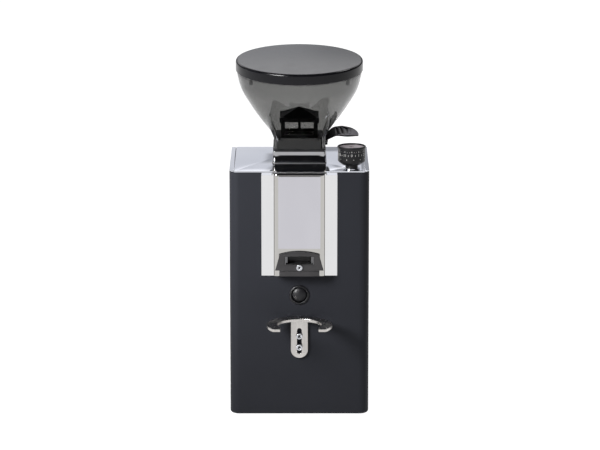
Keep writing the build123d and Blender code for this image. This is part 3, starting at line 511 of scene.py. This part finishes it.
# ---- hopper ----------------------------------------------------------------------------
# Heights are above the top plate.
NECK_HALF = 24.1
NECK_CORNER = 5.0
NECK_LOW = 13.6
NECK_SEAM = 18.0
NECK_TOP = 24.0
CONE_TOP = 38.3
CORNER_PEAK = 9.5              # how much higher the corners run up into the bowl
CORNER_SPREAD = 20.0           # degrees to each side of a corner
BOWL = [(NECK_TOP, 24.6), (CONE_TOP, 36.1), (52.6, 46.0), (66.9, 54.4), (81.2, 58.35), (RIM_Z, 58.45),
        (90.0, 58.5)]          # (height, radius)
WALL = 2.2
LID_R, LID_H = 59.75, 10.0
RING = 192                     # points round the hopper


def bowl_radius(z):
    return curve_through(BOWL, max(z, CONE_TOP))


def neck_radius(angle, inset):
    """Distance from the axis to a square with rounded corners, along an angle."""
    a = abs((math.degrees(angle) % 90) - 45)
    a = math.radians(45 - a)                      # 0 at a face's centre, 45 degrees at a corner
    half, corner = NECK_HALF - inset, NECK_CORNER - inset
    straight = half / math.cos(a)
    if straight * math.sin(a) <= half - corner:
        return straight
    centre = (half - corner) * math.sqrt(2)
    off = math.radians(45) - a
    return centre * math.cos(off) + math.sqrt(corner ** 2 - (centre * math.sin(off)) ** 2)


def curve_through(points, x):
    """Smooth curve through (x, y) points (Catmull-Rom), held at its ends."""
    x = min(max(x, points[0][0]), points[-1][0])
    i = max(k for k in range(len(points) - 1) if points[k][0] <= x + 1e-9)
    (xa, ya), (xb, yb) = points[i], points[i + 1]
    before = points[i - 1] if i else (2 * xa - xb, 2 * ya - yb)
    after = points[i + 2] if i + 2 < len(points) else (2 * xb - xa, 2 * yb - ya)
    slope_a = (yb - before[1]) / (xb - before[0])
    slope_b = (after[1] - ya) / (after[0] - xa)
    h = xb - xa
    t = (x - xa) / h
    return (ya * (2 * t ** 3 - 3 * t ** 2 + 1) + yb * (3 * t ** 2 - 2 * t ** 3)
            + h * slope_a * (t ** 3 - 2 * t ** 2 + t) + h * slope_b * (t ** 3 - t ** 2))


def cut_box(obj, lo, hi):
    """Cuts a box, given by two corners in millimetres, out of a piece."""
    verts = [(x, y, z) for x in (lo[0], hi[0]) for y in (lo[1], hi[1]) for z in (lo[2], hi[2])]
    cutter = mesh_object("cutter", verts, [(0, 1, 3, 2), (4, 6, 7, 5), (0, 4, 5, 1), (2, 3, 7, 6),
                                           (0, 2, 6, 4), (1, 5, 7, 3)])
    step = obj.modifiers.new("cut", "BOOLEAN")
    step.operation = "DIFFERENCE"
    step.solver = "EXACT"
    step.object = cutter
    mesh = finished_mesh(obj)
    obj.modifiers.remove(step)
    obj.data = mesh
    bpy.data.objects.remove(cutter)


def joint_height(angle):
    """Where the square-to-round cone meets the bowl: higher at the four corners."""
    off = abs((math.degrees(angle) % 90) - 45)    # 0 at a corner
    return CONE_TOP + CORNER_PEAK * max(0.0, 1 - off / CORNER_SPREAD) ** 1.2


def hopper_ring(v, inset):
    """One ring of the hopper; v is 0 at the neck's top, 1 at the cone's top, 2 at the rim."""
    ring = []
    for k in range(RING):
        a = 2 * math.pi * k / RING
        top = joint_height(a)
        if v <= 1:
            z = NECK_TOP + (top - NECK_TOP) * v
            r = neck_radius(a, inset) * (1 - v) + (bowl_radius(top) - inset) * v
        else:
            z = top + (RIM_Z - 0.15 - top) * (v - 1)
            r = bowl_radius(z) - inset
        x, y = r * math.cos(a), r * math.sin(a)
        lean = max(0.0, min(1.0, (z - 60) / 25)) ** 1.5       # the upper wall leans with the rim
        ring.append((x, y, z + y * math.tan(RIM_TILT) * lean))
    return ring


def rim_ring(radius, height):
    """A ring of the tilted rim; height is along the lid's axis above the rim plane."""
    tilt = Matrix.Rotation(RIM_TILT, 3, "X")
    points = [tilt @ Vector((x, y, height)) for x, y in circle_loop(0, 0, radius, RING)]
    return [(p.x, p.y, p.z + RIM_Z) for p in points]


def neck_ring(z, inset):
    return [(neck_radius(a, inset) * math.cos(a), neck_radius(a, inset) * math.sin(a), z)
            for a in (2 * math.pi * k / RING for k in range(RING))]


def make_bowl():
    """Thin-walled hopper with a slot for the gate, and two clips under its rim."""
    cone = [i / 8 for i in range(9)]
    wall = [1 + i / 22 for i in range(1, 23)]
    outer = [neck_ring(NECK_LOW, 0), neck_ring(NECK_SEAM, 0)] + [hopper_ring(v, 0) for v in cone + wall]
    rim = [rim_ring(radius, height) for radius, height in (
        (57.1, 0.0), (56.9, 0.3), (56.9, 6.6), (56.5, 7.0), (55.0, 7.0), (54.7, 6.6), (54.7, -2.4))]
    inner = [hopper_ring(v, WALL) for v in reversed(cone + wall[:-1])]
    inner += [neck_ring(NECK_SEAM, WALL), neck_ring(NECK_LOW, WALL)]
    rings = outer + rim + inner
    bowl = loft_rings("bowl", rings + [rings[0]], close_ends=False)
    gate_half, gate_low, gate_high = 16.6, 15.7, 18.7
    cut_box(bowl, (0, -gate_half, gate_low), (40, gate_half, gate_high))
    turn(bowl, shift_mm(0, AXIS_Y, TOP))
    place_piece(bowl, "hopper_bowl", "smoked_clear", sharp=24)
    lugs = []
    for side in (-1, 1):
        lug = plate(f"lug_{side + 1}", [rounded_rect(-1.8, 1.8, -2.6, 2.6, 0.7)], 0, 1.5, 0.35, 3)
        spin = Matrix.Rotation(math.radians(side * 55), 4, "Z")
        place = shift_mm(0, AXIS_Y, TOP + RIM_Z - 6.6) @ spin @ shift_mm(0, -53.2, 0) @ FACE_FRONT
        lugs.append(turn(lug, place))
    trim_piece(join_pieces("rim_lugs", lugs), "hopper_bowl", "black_plastic")


def make_lid():
    """Shallow cap with a soft upper edge and a skirt over the rim."""
    under, skirt_r = 7.4, 57.2
    profile = [(0, under), (skirt_r, under), (skirt_r, 0.0), (LID_R, 0.0), (LID_R, LID_H), (0, LID_H + 0.25)]
    rounded = [Vector((0, under))]
    for i, radius in {1: 0.5, 2: 0.5, 3: 0.7, 4: 2.6}.items():
        rounded += round_profile([profile[i - 1], profile[i], profile[i + 1]], radius, 8)[9:18]
    rounded.append(Vector((0, LID_H - 0.02)))
    lid = lathe("lid", [tuple(p) for p in rounded], RING, closed=False)
    turn(lid, shift_mm(0, AXIS_Y, TOP + RIM_Z) @ Matrix.Rotation(RIM_TILT, 4, "X"))
    place_piece(lid, "hopper_lid", "lid_plastic", sharp=40)


# The paddle's outlines against x, from the hopper axis, before it is tilted.
PADDLE_X0, PADDLE_X1 = 25.2, 55.6
PADDLE_TOP = [(PADDLE_X0, 3.2), (30.0, 7.4), (35.0, 9.7), (45.0, 9.0), (PADDLE_X1, 9.8)]
PADDLE_UNDER = [(PADDLE_X0, 1.4), (30.0, 5.5), (35.0, 8.0), (45.0, 7.2), (PADDLE_X1, 8.1)]
PADDLE_FAR = [(PADDLE_X0, 4.2), (30.5, 6.0), (36.0, 6.0), (41.0, 7.2), (48.5, 4.8), (53.7, -0.9),
              (PADDLE_X1, -5.4)]
PADDLE_NEAR = -8.2
PADDLE_TILT = 25.0
GROOVE_X0, GROOVE_X1 = 33.5, 51.0
GROOVE_PITCH, GROOVE_DEPTH = 2.9, 1.1
SQUARENESS = 0.22              # exponent of the paddle's section: 1 is an ellipse, 0 a rectangle


def signed_power(value, power):
    return math.copysign(abs(value) ** power, value)


def paddle_groove(x, y, y0, y1):
    """Depth of the slanted grooves at a point, fading out towards the paddle's edges."""
    fade = max(0.0, min(1.0, x - GROOVE_X0, GROOVE_X1 - x, (y - y0 - 1.6) / 0.8, (y1 - y - 1.0) / 0.8))
    across = 0.574 * x + 0.819 * y - 19.2
    wave = 0.5 + 0.5 * math.cos(across * 2 * math.pi / GROOVE_PITCH)
    return GROOVE_DEPTH * fade * wave ** 2


def paddle_ring(x, points=96):
    """Rounded section of the paddle at x; the grooves are cut in its upper half."""
    y0, y1 = PADDLE_NEAR + 2.0 * max(0.0, (30.0 - x) / 5.0), curve_through(PADDLE_FAR, x)
    z0, z1 = curve_through(PADDLE_UNDER, x), curve_through(PADDLE_TOP, x)
    shut = math.sqrt(max(0.0, 1 - max(0.0, (x - 55.0) / 0.6) ** 2))
    z_half = (z1 - z0) / 2 * max(0.25, shut)
    ring = []
    for k in range(points):
        a = 2 * math.pi * k / points
        y = (y0 + y1) / 2 + (y1 - y0) / 2 * signed_power(math.cos(a), SQUARENESS)
        z = (z0 + z1) / 2 + z_half * signed_power(math.sin(a), SQUARENESS)
        ring.append((x, y, z - (paddle_groove(x, y, y0, y1) if math.sin(a) > 0.1 else 0.0)))
    return ring


def make_gate():
    """Slide plate with a raised, tilted paddle whose top is grooved across its corner."""
    slide = plate("slide", [rounded_rect(-19.2, NECK_HALF + 2.4, -16, 16, 1.0)], 16.2, 18.2, 0.3)
    root = plate("root", [rounded_rect(NECK_HALF + 0.6, NECK_HALF + 2.9, -2.4, 5.2, 1.0)], 16.2, 23.8, 0.5)
    count, tip = 128, 0.9      # the sections crowd together over the last tenth
    rings = []
    for i in range(count + 1):
        u = i / count
        if u >= tip:
            u = tip + (1 - tip) * math.sin((u - tip) / (1 - tip) * math.pi / 2)
        rings.append(paddle_ring(PADDLE_X0 + (PADDLE_X1 - PADDLE_X0) * u))
    blade = loft_rings("blade", rings)
    turn(blade, shift_mm(0, 0, 19.6) @ Matrix.Rotation(math.radians(PADDLE_TILT), 4, "X"))
    gate = join_pieces("gate", [slide, root, blade])
    turn(gate, shift_mm(0, AXIS_Y, TOP))
    place_piece(gate, "hopper_gate", "paddle_plastic", sharp=30)


# ---- socket block, top plate and chute -------------------------------------------------
def make_block():
    """Socket block with a wider foot and the tube below it, and a bead along its front."""
    low, high = corners("neck_block")
    front, step, foot_h = low.y, 0.7, 1.6
    mid_y = (front + high.y - step) / 2
    half_x, half_y = 24.65, (high.y - step - front) / 2
    bore = circle_loop(0, AXIS_Y - mid_y, 21.4, 96)
    throat = circle_loop(0, AXIS_Y - mid_y, 15.0, 96)
    body_edge = rounded_rect(-half_x, half_x, -half_y, half_y, 2.0)
    foot_edge = rounded_rect(-half_x - step, half_x + step, -half_y, half_y + step, 2.0)
    body = plate("block_body", [body_edge, bore], foot_h, 11.8, 0.7, 4)
    foot = plate("block_foot", [foot_edge, throat], 0.0, foot_h, 0.5, 3)
    tube = plate("block_tube", [circle_loop(0, AXIS_Y - mid_y, 23.0, 96), throat], -12.0, 0.0, 0.3, 2)
    block = join_pieces("block", [body, foot, tube])
    turn(block, shift_mm(0, mid_y, TOP))
    place_piece(block, "neck_block", "block_steel")
    bead = [(0.2, 0.41), (-3.6, 0.41), (-3.6, 0.46), (-3.2, 0.66), (-1.0, 0.66), (0.2, 0.60)]
    rings = [[(x, front + y, TOP + z) for y, z in bead] for x in (-24.4, -24.2, 24.2, 24.4)]
    trim_piece(loft_rings("block_bead", rings), "neck_block", "bead_satin")


def make_top_plate():
    """Folded sheet: a middle field and a narrow hem that falls away along each side."""
    hem_w, gap = 4.2, 0.3
    slot_half, slot_depth = 24.6, 36.0
    depth = BACK - FRONT
    inner_x = HALF_W - hem_w - gap
    hem_x = inner_x + gap
    field = [(-inner_x, 0), (-slot_half, 0), (-slot_half, slot_depth), (slot_half, slot_depth),
             (slot_half, 0), (inner_x, 0), (inner_x, depth), (-inner_x, depth)]
    knob = box_centre("adjust_knob")
    holes = [circle_loop(0, AXIS_Y - FRONT, 23.3, 96), circle_loop(knob.x, knob.y - FRONT, 7.6, 48)]
    middle = plate("plate_field", [field] + holes, -SHEET, 0, 0.2)
    hems = []
    corner, fall = 9.0, 0.07
    for side in (-1, 1):
        bend = []
        for k in range(13):
            a = math.radians(90 * k / 12)
            x = HALF_W - corner + corner * math.sin(a)
            if x >= hem_x:
                bend.append((side * x, corner - corner * math.cos(a)))
        hem = [(side * hem_x, depth), (side * hem_x, bend[0][1])] + bend + [(side * HALF_W, depth)]
        sheet = plate(f"hem_{side + 1}", [hem if side < 0 else hem[::-1]], -SHEET, 0.0, 0.35)
        for v in sheet.data.vertices:
            if v.co.z > -0.5 * SHEET * MM:
                v.co.z -= fall * max(0.0, abs(v.co.x) - hem_x * MM)
        hems.append(sheet)
    lips = []                  # small tabs that hang down beside the slot
    lip_in, lip_out = 24.75, 35.05
    for side in (-1, 1):
        x0, x1 = sorted((side * lip_in, side * lip_out))
        lip = plate(f"lip_{side + 1}", [rounded_rect(x0, x1, -SHEET - 2.8, -SHEET, 0.2, 2)], 0, 0.8, 0.2, 2)
        lips.append(turn(lip, shift_mm(0, 0.8, 0) @ FACE_FRONT))
    top = join_pieces("top_sheet", [middle] + hems + lips)
    turn(top, shift_mm(0, FRONT, TOP))
    place_piece(top, "top_plate", "polished_steel", sharp=30)


def make_film():
    """Protective film on the chute panel, and a grey strip along the front of its bridge that paints the
    socket block's light band reflected in it.
    """
    film = plate("film", [rounded_rect(-19.6, 19.6, -71.0, -2.6, 0.6, 3)], 0.0, 0.15, 0.05, 1)
    turn(film, shift_mm(0, COVER_FRONT, TOP) @ FACE_FRONT)
    trim_piece(film, "chute_cover", "panel_film")
    # painted reflection: a matte grey strip on the mirror bridge stands for the socket block reflected in it
    hem = plate("bridge_reflection_band", [rounded_rect(-24.3, 24.3, 0.9, 5.2, 0.3, 3)], 0.41, 0.62, 0.08, 2)
    turn(hem, shift_mm(0, COVER_FRONT, TOP))
    trim_piece(hem, "chute_cover", "painted_bridge_reflection")


# ---- adjusting knob --------------------------------------------------------------------
def wrap_text(name, body, size, radius, angle, z):
    """Print wrapped on a cylinder about local Z; angle 0 faces -Y."""
    font = bpy.data.curves.new(name, "FONT")
    font.body = body
    font.size = size * MM
    font.align_x = "CENTER"
    font.align_y = "CENTER"
    font.resolution_u = 3
    holder = add_object(name + "_type", font)
    mesh = finished_mesh(holder)
    bpy.data.objects.remove(holder)
    for v in mesh.vertices:
        a = math.radians(angle) + v.co.x / MM / radius
        v.co = Vector((radius * math.sin(a), -radius * math.cos(a), z + v.co.y / MM)) * MM
    return add_object(name, mesh)


def tick(name, radius, angle, z0, z1, width):
    """One printed line of the scale, from z0 to z1."""
    a0, a1 = math.radians(angle) - width / 2 / radius, math.radians(angle) + width / 2 / radius
    verts = [(radius * math.sin(a), -radius * math.cos(a), z) for z in (z0, z1) for a in (a0, a1)]
    return mesh_object(name, verts, [(0, 1, 3, 2)])


def make_knob():
    """Drum on a narrow boss, with a printed scale of two rows."""
    low, high = corners("adjust_knob")
    foot = shift_mm((low.x + high.x) / 2, (low.y + high.y) / 2, low.z)
    r, h = (high.x - low.x) / 2, high.z - low.z
    drum = 3.6                 # height of the boss under the drum
    profile = [(4.4, 0), (5.8, 0), (5.8, drum), (r - 4.4, drum), (r - 0.8, drum + 2.8), (r - 0.5, drum + 3.8),
               (r - 0.5, h - 2.6), (r, h - 1.9), (r, h - 0.5), (r - 0.5, h), (r - 1.5, h), (r - 1.6, h - 2.0),
               (4.4, h - 2.0)]
    knob = lathe("knob", [tuple(p) for p in round_profile(profile, 0.35, 3)], 160)
    turn(knob, foot)
    place_piece(knob, "adjust_knob", "knob_black", sharp=32)
    marks = []
    side = r - 0.47
    for i in range(36):
        end, width = (h - 3.5, 0.4) if i % 3 == 0 else (h - 4.1, 0.25)
        marks.append(tick(f"tick_{i}", side, i * 10, h - 4.6, end, width))
    for i in range(12):
        marks.append(wrap_text(f"number_{i}", str(i), 3.4, side, i * 30, h - 7.4))
        marks.append(tick(f"mark_{i}", side, i * 30 + 15, h - 8.2, h - 6.8, 0.4))
    for i in range(12):
        marks.append(tick(f"low_{i}", side, i * 30 + 8, h - 11.8, h - 11.0, 0.6))
    marks = join_pieces("knob_scale", marks)
    turn(marks, foot)
    trim_piece(marks, "adjust_knob", "print_white")


# ---- button, fork, spout ---------------------------------------------------------------
def make_button():
    """Domed cap in a round bezel."""
    place = shift_mm(0, FRONT, box_centre("button_bezel").z) @ FACE_FRONT
    rim = [(7.3, 1.2), (7.3, -8.0), (8.05, -8.0), (8.05, 0.0), (9.3, 0.0), (9.3, 0.9), (8.4, 1.6), (7.6, 1.6)]
    bezel = lathe("bezel", [tuple(p) for p in round_profile(rim, 0.35, 3)], 96)
    floor = lathe("bezel_floor", [(2.8, -8.5), (8.05, -8.5), (8.05, -10.0), (2.8, -10.0)], 64)
    bezel = join_pieces("bezel", [bezel, floor])
    turn(bezel, place)
    place_piece(bezel, "button_bezel", "gloss_black")
    dome = [(0, -7.0), (2.5, -7.0), (2.5, -4.0), (6.95, -4.0), (6.95, -0.4)]
    ball, crown = 12.0, 2.2
    edge = math.asin(6.6 / ball)
    for k in range(9):
        a = edge * (1 - k / 8)
        dome.append((ball * math.sin(a), crown - ball + ball * math.cos(a)))
    cap = lathe("button_cap", dome, 96, closed=False)
    turn(cap, place)
    place_piece(cap, "push_button", "gloss_black", sharp=40)


def make_fork():
    """Hoop plate and a slotted tab, from 3 mm steel with softened edges."""
    low, high = corners("portafilter_fork")
    outer, inner, mouth, thick = (high.x - low.x) / 2, 20.6, 17.7, 3.0
    off_wall = 0.08            # air between the fork and the casing
    tip_y = low.y - FRONT + off_wall
    end = math.degrees(math.acos(mouth / outer))
    inner_end = math.degrees(math.acos(mouth / inner))
    loop = [(x, max(y, tip_y)) for x, y in arc(0, -outer, outer, -end, 180 + 2 * end, 72)]
    loop += arc(0, -outer, inner, 180 + inner_end, -180 - 2 * inner_end, 72)
    soft = [p for i, p in enumerate(loop) if i == 0 or (Vector(p) - Vector(loop[i - 1])).length > 0.05]
    hoop = plate("hoop", [soft], -thick, 0, 0.55, 4)
    turn(hoop, shift_mm(0, FRONT - off_wall, high.z))
    half = 8.0                 # the tab's half width, and the radius of its lower end
    tab_edge = [(half, high.z - 0.4), (-half, high.z - 0.4)] + arc(0, low.z + half, half, 180, 180, 24)
    slot_r, slot_lo, slot_hi = 2.1, TOP - 173.7, TOP - 149.4
    slot = arc(0, slot_hi - slot_r, slot_r, 0, 180, 12) + arc(0, slot_lo + slot_r, slot_r, 180, 180, 12)
    tab = plate("tab", [tab_edge, slot], off_wall, thick, 0.5, 4)
    turn(tab, shift_mm(0, FRONT, 0) @ FACE_FRONT)
    fork = join_pieces("fork", [hoop, tab])
    place_piece(fork, "portafilter_fork", "satin_steel", sharp=30)


def screw_head(name, radius, height, socket):
    """Button head with a hexagonal socket; local +Z is the outside, Z=0 the seat."""
    outline, hexagon = circle_loop(0, 0, radius, 48), arc(0, 0, socket, 30, 300, 5)
    cap = plate(name + "_cap", [outline, hexagon], height * 0.35, height, height * 0.3, 4)
    seat = rod(name + "_seat", radius * 0.97, 0, height * 0.5, 48)
    return join_pieces(name, [cap, seat])


def make_screws():
    """The fork's two screws and the spout's one, each with painted shade: a black disc on its socket's floor
    stands for the shade in the hole.
    """
    parts, shade_discs = [], []
    for i, z in enumerate((TOP - 156.6, TOP - 167.4)):
        place = shift_mm(0, FRONT - 3.05, z) @ FACE_FRONT
        head = screw_head(f"fork_head_{i}", 3.0, 2.2, 1.45)
        shank = rod(f"fork_shank_{i}", 1.9, -10, 0.1, 32)
        parts.append(turn(join_pieces(f"fork_screw_{i}", [head, shank]), place))
        # a black disc at the socket's floor paints the shade in the hex socket
        shade_discs.append(turn(rod(f"fork_cup_{i}", 1.24, 1.12, 1.2, 6), place))
    place_piece(join_pieces("fork_screw_pair", parts), "fork_screws", "zinc_steel")
    trim_piece(join_pieces("fork_socket_shades", shade_discs), "fork_screws", "painted_recess_shade")
    place = shift_mm(0, FRONT - 14.0, TOP - 88.5) @ FACE_FRONT
    head = screw_head("spout_head", 2.9, 1.6, 1.3)
    shank = rod("spout_shank", 1.35, -3.6, 0.1, 32)
    screw = turn(join_pieces("spout_bolt", [head, shank]), place)
    place_piece(screw, "spout_screw", "zinc_steel")
    trim_piece(turn(rod("spout_socket_shade", 1.1, 0.82, 0.88, 6), place), "spout_screw", "painted_recess_shade")


def make_spout():
    """Arched face with a window, a lip and the walls behind it, and a black lining painted inside the window
    as its shade.
    """
    crest, shoulder, leg, low = -73.2, -76.0, -91.4, -96.8
    body, foot = 18.7, 22.5
    sag = shoulder - crest
    radius = (body ** 2 + sag ** 2) / (2 * abs(sag))
    loop = []
    for k in range(25):
        x = body - 2 * body * k / 24
        loop.append((x, crest - radius + math.sqrt(radius ** 2 - x ** 2)))
    loop += [(-body - 0.5, shoulder - 4), (-foot, leg), (-body, leg), (-body, low), (body, low), (body, leg),
             (foot, leg), (body + 0.5, shoulder - 4)]
    window = rounded_rect(-13.4, 13.4, -85.6, -78.0, 0.6, 3)
    face = turn(plate("spout_face", [loop, window], 12.1, 14.0, 0.45, 3), FACE_FRONT)
    lip = plate("spout_lip", [rounded_rect(-18.7, 18.7, low, -91.8, 0.8, 3)], 13.6, 14.8, 0.35, 3)
    turn(lip, FACE_FRONT)
    walls = [(-18.6, -12.2), (-18.6, -1.5), (18.6, -1.5), (18.6, -12.2), (14.5, -12.2), (14.5, -3.0),
             (-14.5, -3.0), (-14.5, -12.2)]
    shell = plate("spout_walls", [walls], low, -76.5, 0.2, 2)
    sill = plate("spout_sill", [rounded_rect(-14.6, 14.6, -12.2, -10.2, 0.2, 2)], low, -86.0, 0.2, 2)
    spout = join_pieces("spout_body", [face, lip, shell, sill])
    turn(spout, shift_mm(0, FRONT, TOP))
    place_piece(spout, "spout", "spout_plastic", sharp=30)
    # a thin black sleeve in the window paints the shade inside the spout's recess
    liner = plate("window_shade_liner", [rounded_rect(-13.38, 13.38, -85.58, -78.02, 0.6, 3),
                                   rounded_rect(-13.1, 13.1, -85.3, -78.3, 0.45, 3)], 3.2, 13.7, 0.05, 1)
    turn(liner, shift_mm(0, FRONT, TOP) @ FACE_FRONT)
    trim_piece(liner, "spout", "painted_recess_shade")


# ---- marks on the power rocker ---------------------------------------------------------
def make_rocker_marks():
    """A ring for off and a bar for on."""
    rocker = box_centre("power_rocker")
    upright = math.radians(-90)
    ring_mark = lathe("mark_off", [(1.6, 0), (2.1, 0), (2.1, 0.08), (1.6, 0.08)], 40)
    turn(ring_mark, shift_mm(rocker.x, BACK + 2.02, rocker.z - 5) @ Matrix.Rotation(upright, 4, "X"))
    bar = plate("mark_on", [rounded_rect(-0.3, 0.3, -2, 2, 0.25, 3)], 0, 0.08, 0.03, 1)
    tilt = math.atan2(2.6, 14.0)
    turn(bar, shift_mm(rocker.x, BACK + 3.0, rocker.z + 5) @ Matrix.Rotation(upright + tilt, 4, "X"))
    marks = join_pieces("rocker_marks", [ring_mark, bar])
    trim_piece(marks, "power_rocker", "print_white")


# ---- finish of the CAD nodes -----------------------------------------------------------
CAD_FINISH = {"chute_cover": "panel_steel", "front_insert": "insert_steel", "spout_frame": "frame_steel"}


def finish_nodes():
    """Every CAD node gets its slot's finish, also where no new piece replaces it."""
    for name, obj in nodes.items():
        obj.data.materials.clear()
        obj.data.materials.append(mats[CAD_FINISH.get(name, slot_of[name])])


# ---- studio ----------------------------------------------------------------------------
FLOOR_SIZE = 30                # metres
FLOOR_GLOW = 1.02


def make_floor():
    """Pale paper that is lit evenly enough to stay white and without shadows."""
    bpy.ops.mesh.primitive_plane_add(size=FLOOR_SIZE, location=(0, 6, 0))
    floor = bpy.context.object
    floor.name = "studio_floor"
    t = Tree("floor_paper")
    t.set(Roughness=0.9, Specular_IOR_Level=0.1, Emission_Strength=FLOOR_GLOW)
    t.join(t.tint(t.noise(3.0), (0.97, 0.97, 0.975), (1.0, 1.0, 1.0)), t.shader.inputs["Emission Color"])
    floor.data.materials.append(t.finish(t.tint(t.noise(3.0), (0.30, 0.30, 0.30), (0.32, 0.32, 0.32))))


def make_world():
    """Dark room with a backdrop behind the grinder: grey bands low down, bright above them."""
    world = bpy.data.worlds.new("studio")
    bpy.context.scene.world = world
    world.use_nodes = True
    tree = world.node_tree
    background = tree.nodes["Background"]
    background.inputs["Strength"].default_value = 1.0
    coords = tree.nodes.new("ShaderNodeTexCoord")
    split = tree.nodes.new("ShaderNodeSeparateXYZ")
    tree.links.new(coords.outputs["Generated"], split.inputs["Vector"])

    def rise(source, start, end, low, high):
        node = tree.nodes.new("ShaderNodeMapRange")
        node.interpolation_type = "SMOOTHSTEP"
        for key, value in (("From Min", start), ("From Max", end), ("To Min", low), ("To Max", high)):
            node.inputs[key].default_value = value
        tree.links.new(split.outputs[source], node.inputs["Value"])
        return node.outputs["Result"]

    def times(a, b):
        node = tree.nodes.new("ShaderNodeMath")
        node.operation = "MULTIPLY"
        tree.links.new(a, node.inputs[0])
        tree.links.new(b, node.inputs[1])
        return node.outputs["Value"]

    def mix(color1, color2, fac):
        node = tree.nodes.new("ShaderNodeMixRGB")
        for key, color in (("Color1", color1), ("Color2", color2)):
            if isinstance(color, tuple):
                node.inputs[key].default_value = (*color, 1)
            else:
                tree.links.new(color, node.inputs[key])
        tree.links.new(fac, node.inputs["Fac"])
        return node.outputs["Color"]

    ahead = times(rise("Y", 0.45, 0.8, 0.0, 1.0), rise("Z", 0.85, 0.5, 0.0, 1.0))
    low = mix((0.72, 0.735, 0.785), (0.355, 0.365, 0.39), rise("X", 0.0, 0.022, 0.0, 1.0))
    low = mix(low, (0.05, 0.05, 0.055), rise("X", 0.085, 0.14, 0.0, 1.0))
    low = mix(low, (0.28, 0.285, 0.30), rise("X", -0.085, -0.14, 0.0, 1.0))
    backdrop = mix(low, (1.75, 1.75, 1.79), rise("Z", 0.30, 0.37, 0.0, 1.0))
    room = mix((0.03, 0.03, 0.032), (0.020, 0.021, 0.025), rise("Y", -0.2, -0.7, 0.0, 1.0))
    tree.links.new(mix(room, backdrop, ahead), background.inputs["Color"])


def area_light(name, place, target, size, power):
    """A rectangular soft light at place, aimed at target; metres and watts."""
    light = bpy.data.lights.new(name, "AREA")
    light.shape = "RECTANGLE"
    light.size, light.size_y = size
    light.energy = power
    obj = add_object(name, light)
    obj.location = place
    aim = Vector(target) - Vector(place)
    obj.rotation_euler = aim.to_track_quat("-Z", "Y").to_euler()
    return obj


def make_lights():
    """A narrow key on the left face, a faint rim on the left and a lamp over the right side."""
    key = area_light("left_key", (-0.42, -0.46, 0.50), (-0.088, -0.04, 0.228), (0.28, 0.34), 1.05)
    key.data.spread = math.radians(40)
    area_light("left_rim", (-1.5, 0.5, 0.5), (0, 0, 0.2), (0.25, 0.9), 0.5)
    area_light("top_right", (1.2, 0.9, 2.0), (0, 0, 0.25), (0.6, 0.6), 12.0)


def make_camera():
    """A long lens in front, looking slightly down."""
    distance, height, pitch = 2940, 598, 12.45
    data = bpy.data.cameras.new("view")
    data.sensor_width = 36.0
    data.lens = 194.4
    data.clip_end = 100
    camera = add_object("view", data)
    camera.location = Vector((0.6, FRONT - distance, TOP + height)) * MM
    camera.rotation_euler = (math.radians(90 - pitch), 0, 0)
    bpy.context.scene.camera = camera


def main():
    finish_nodes()
    make_bowl()
    make_lid()
    make_gate()
    make_block()
    make_top_plate()
    make_film()
    make_knob()
    make_button()
    make_fork()
    make_screws()
    make_spout()
    make_rocker_marks()
    make_floor()
    make_world()
    make_lights()
    make_camera()
    scene = bpy.context.scene
    scene.view_settings.view_transform = "Standard"
    scene.cycles.use_denoising = True
    scene.cycles.transparent_max_bounces = 16


main()
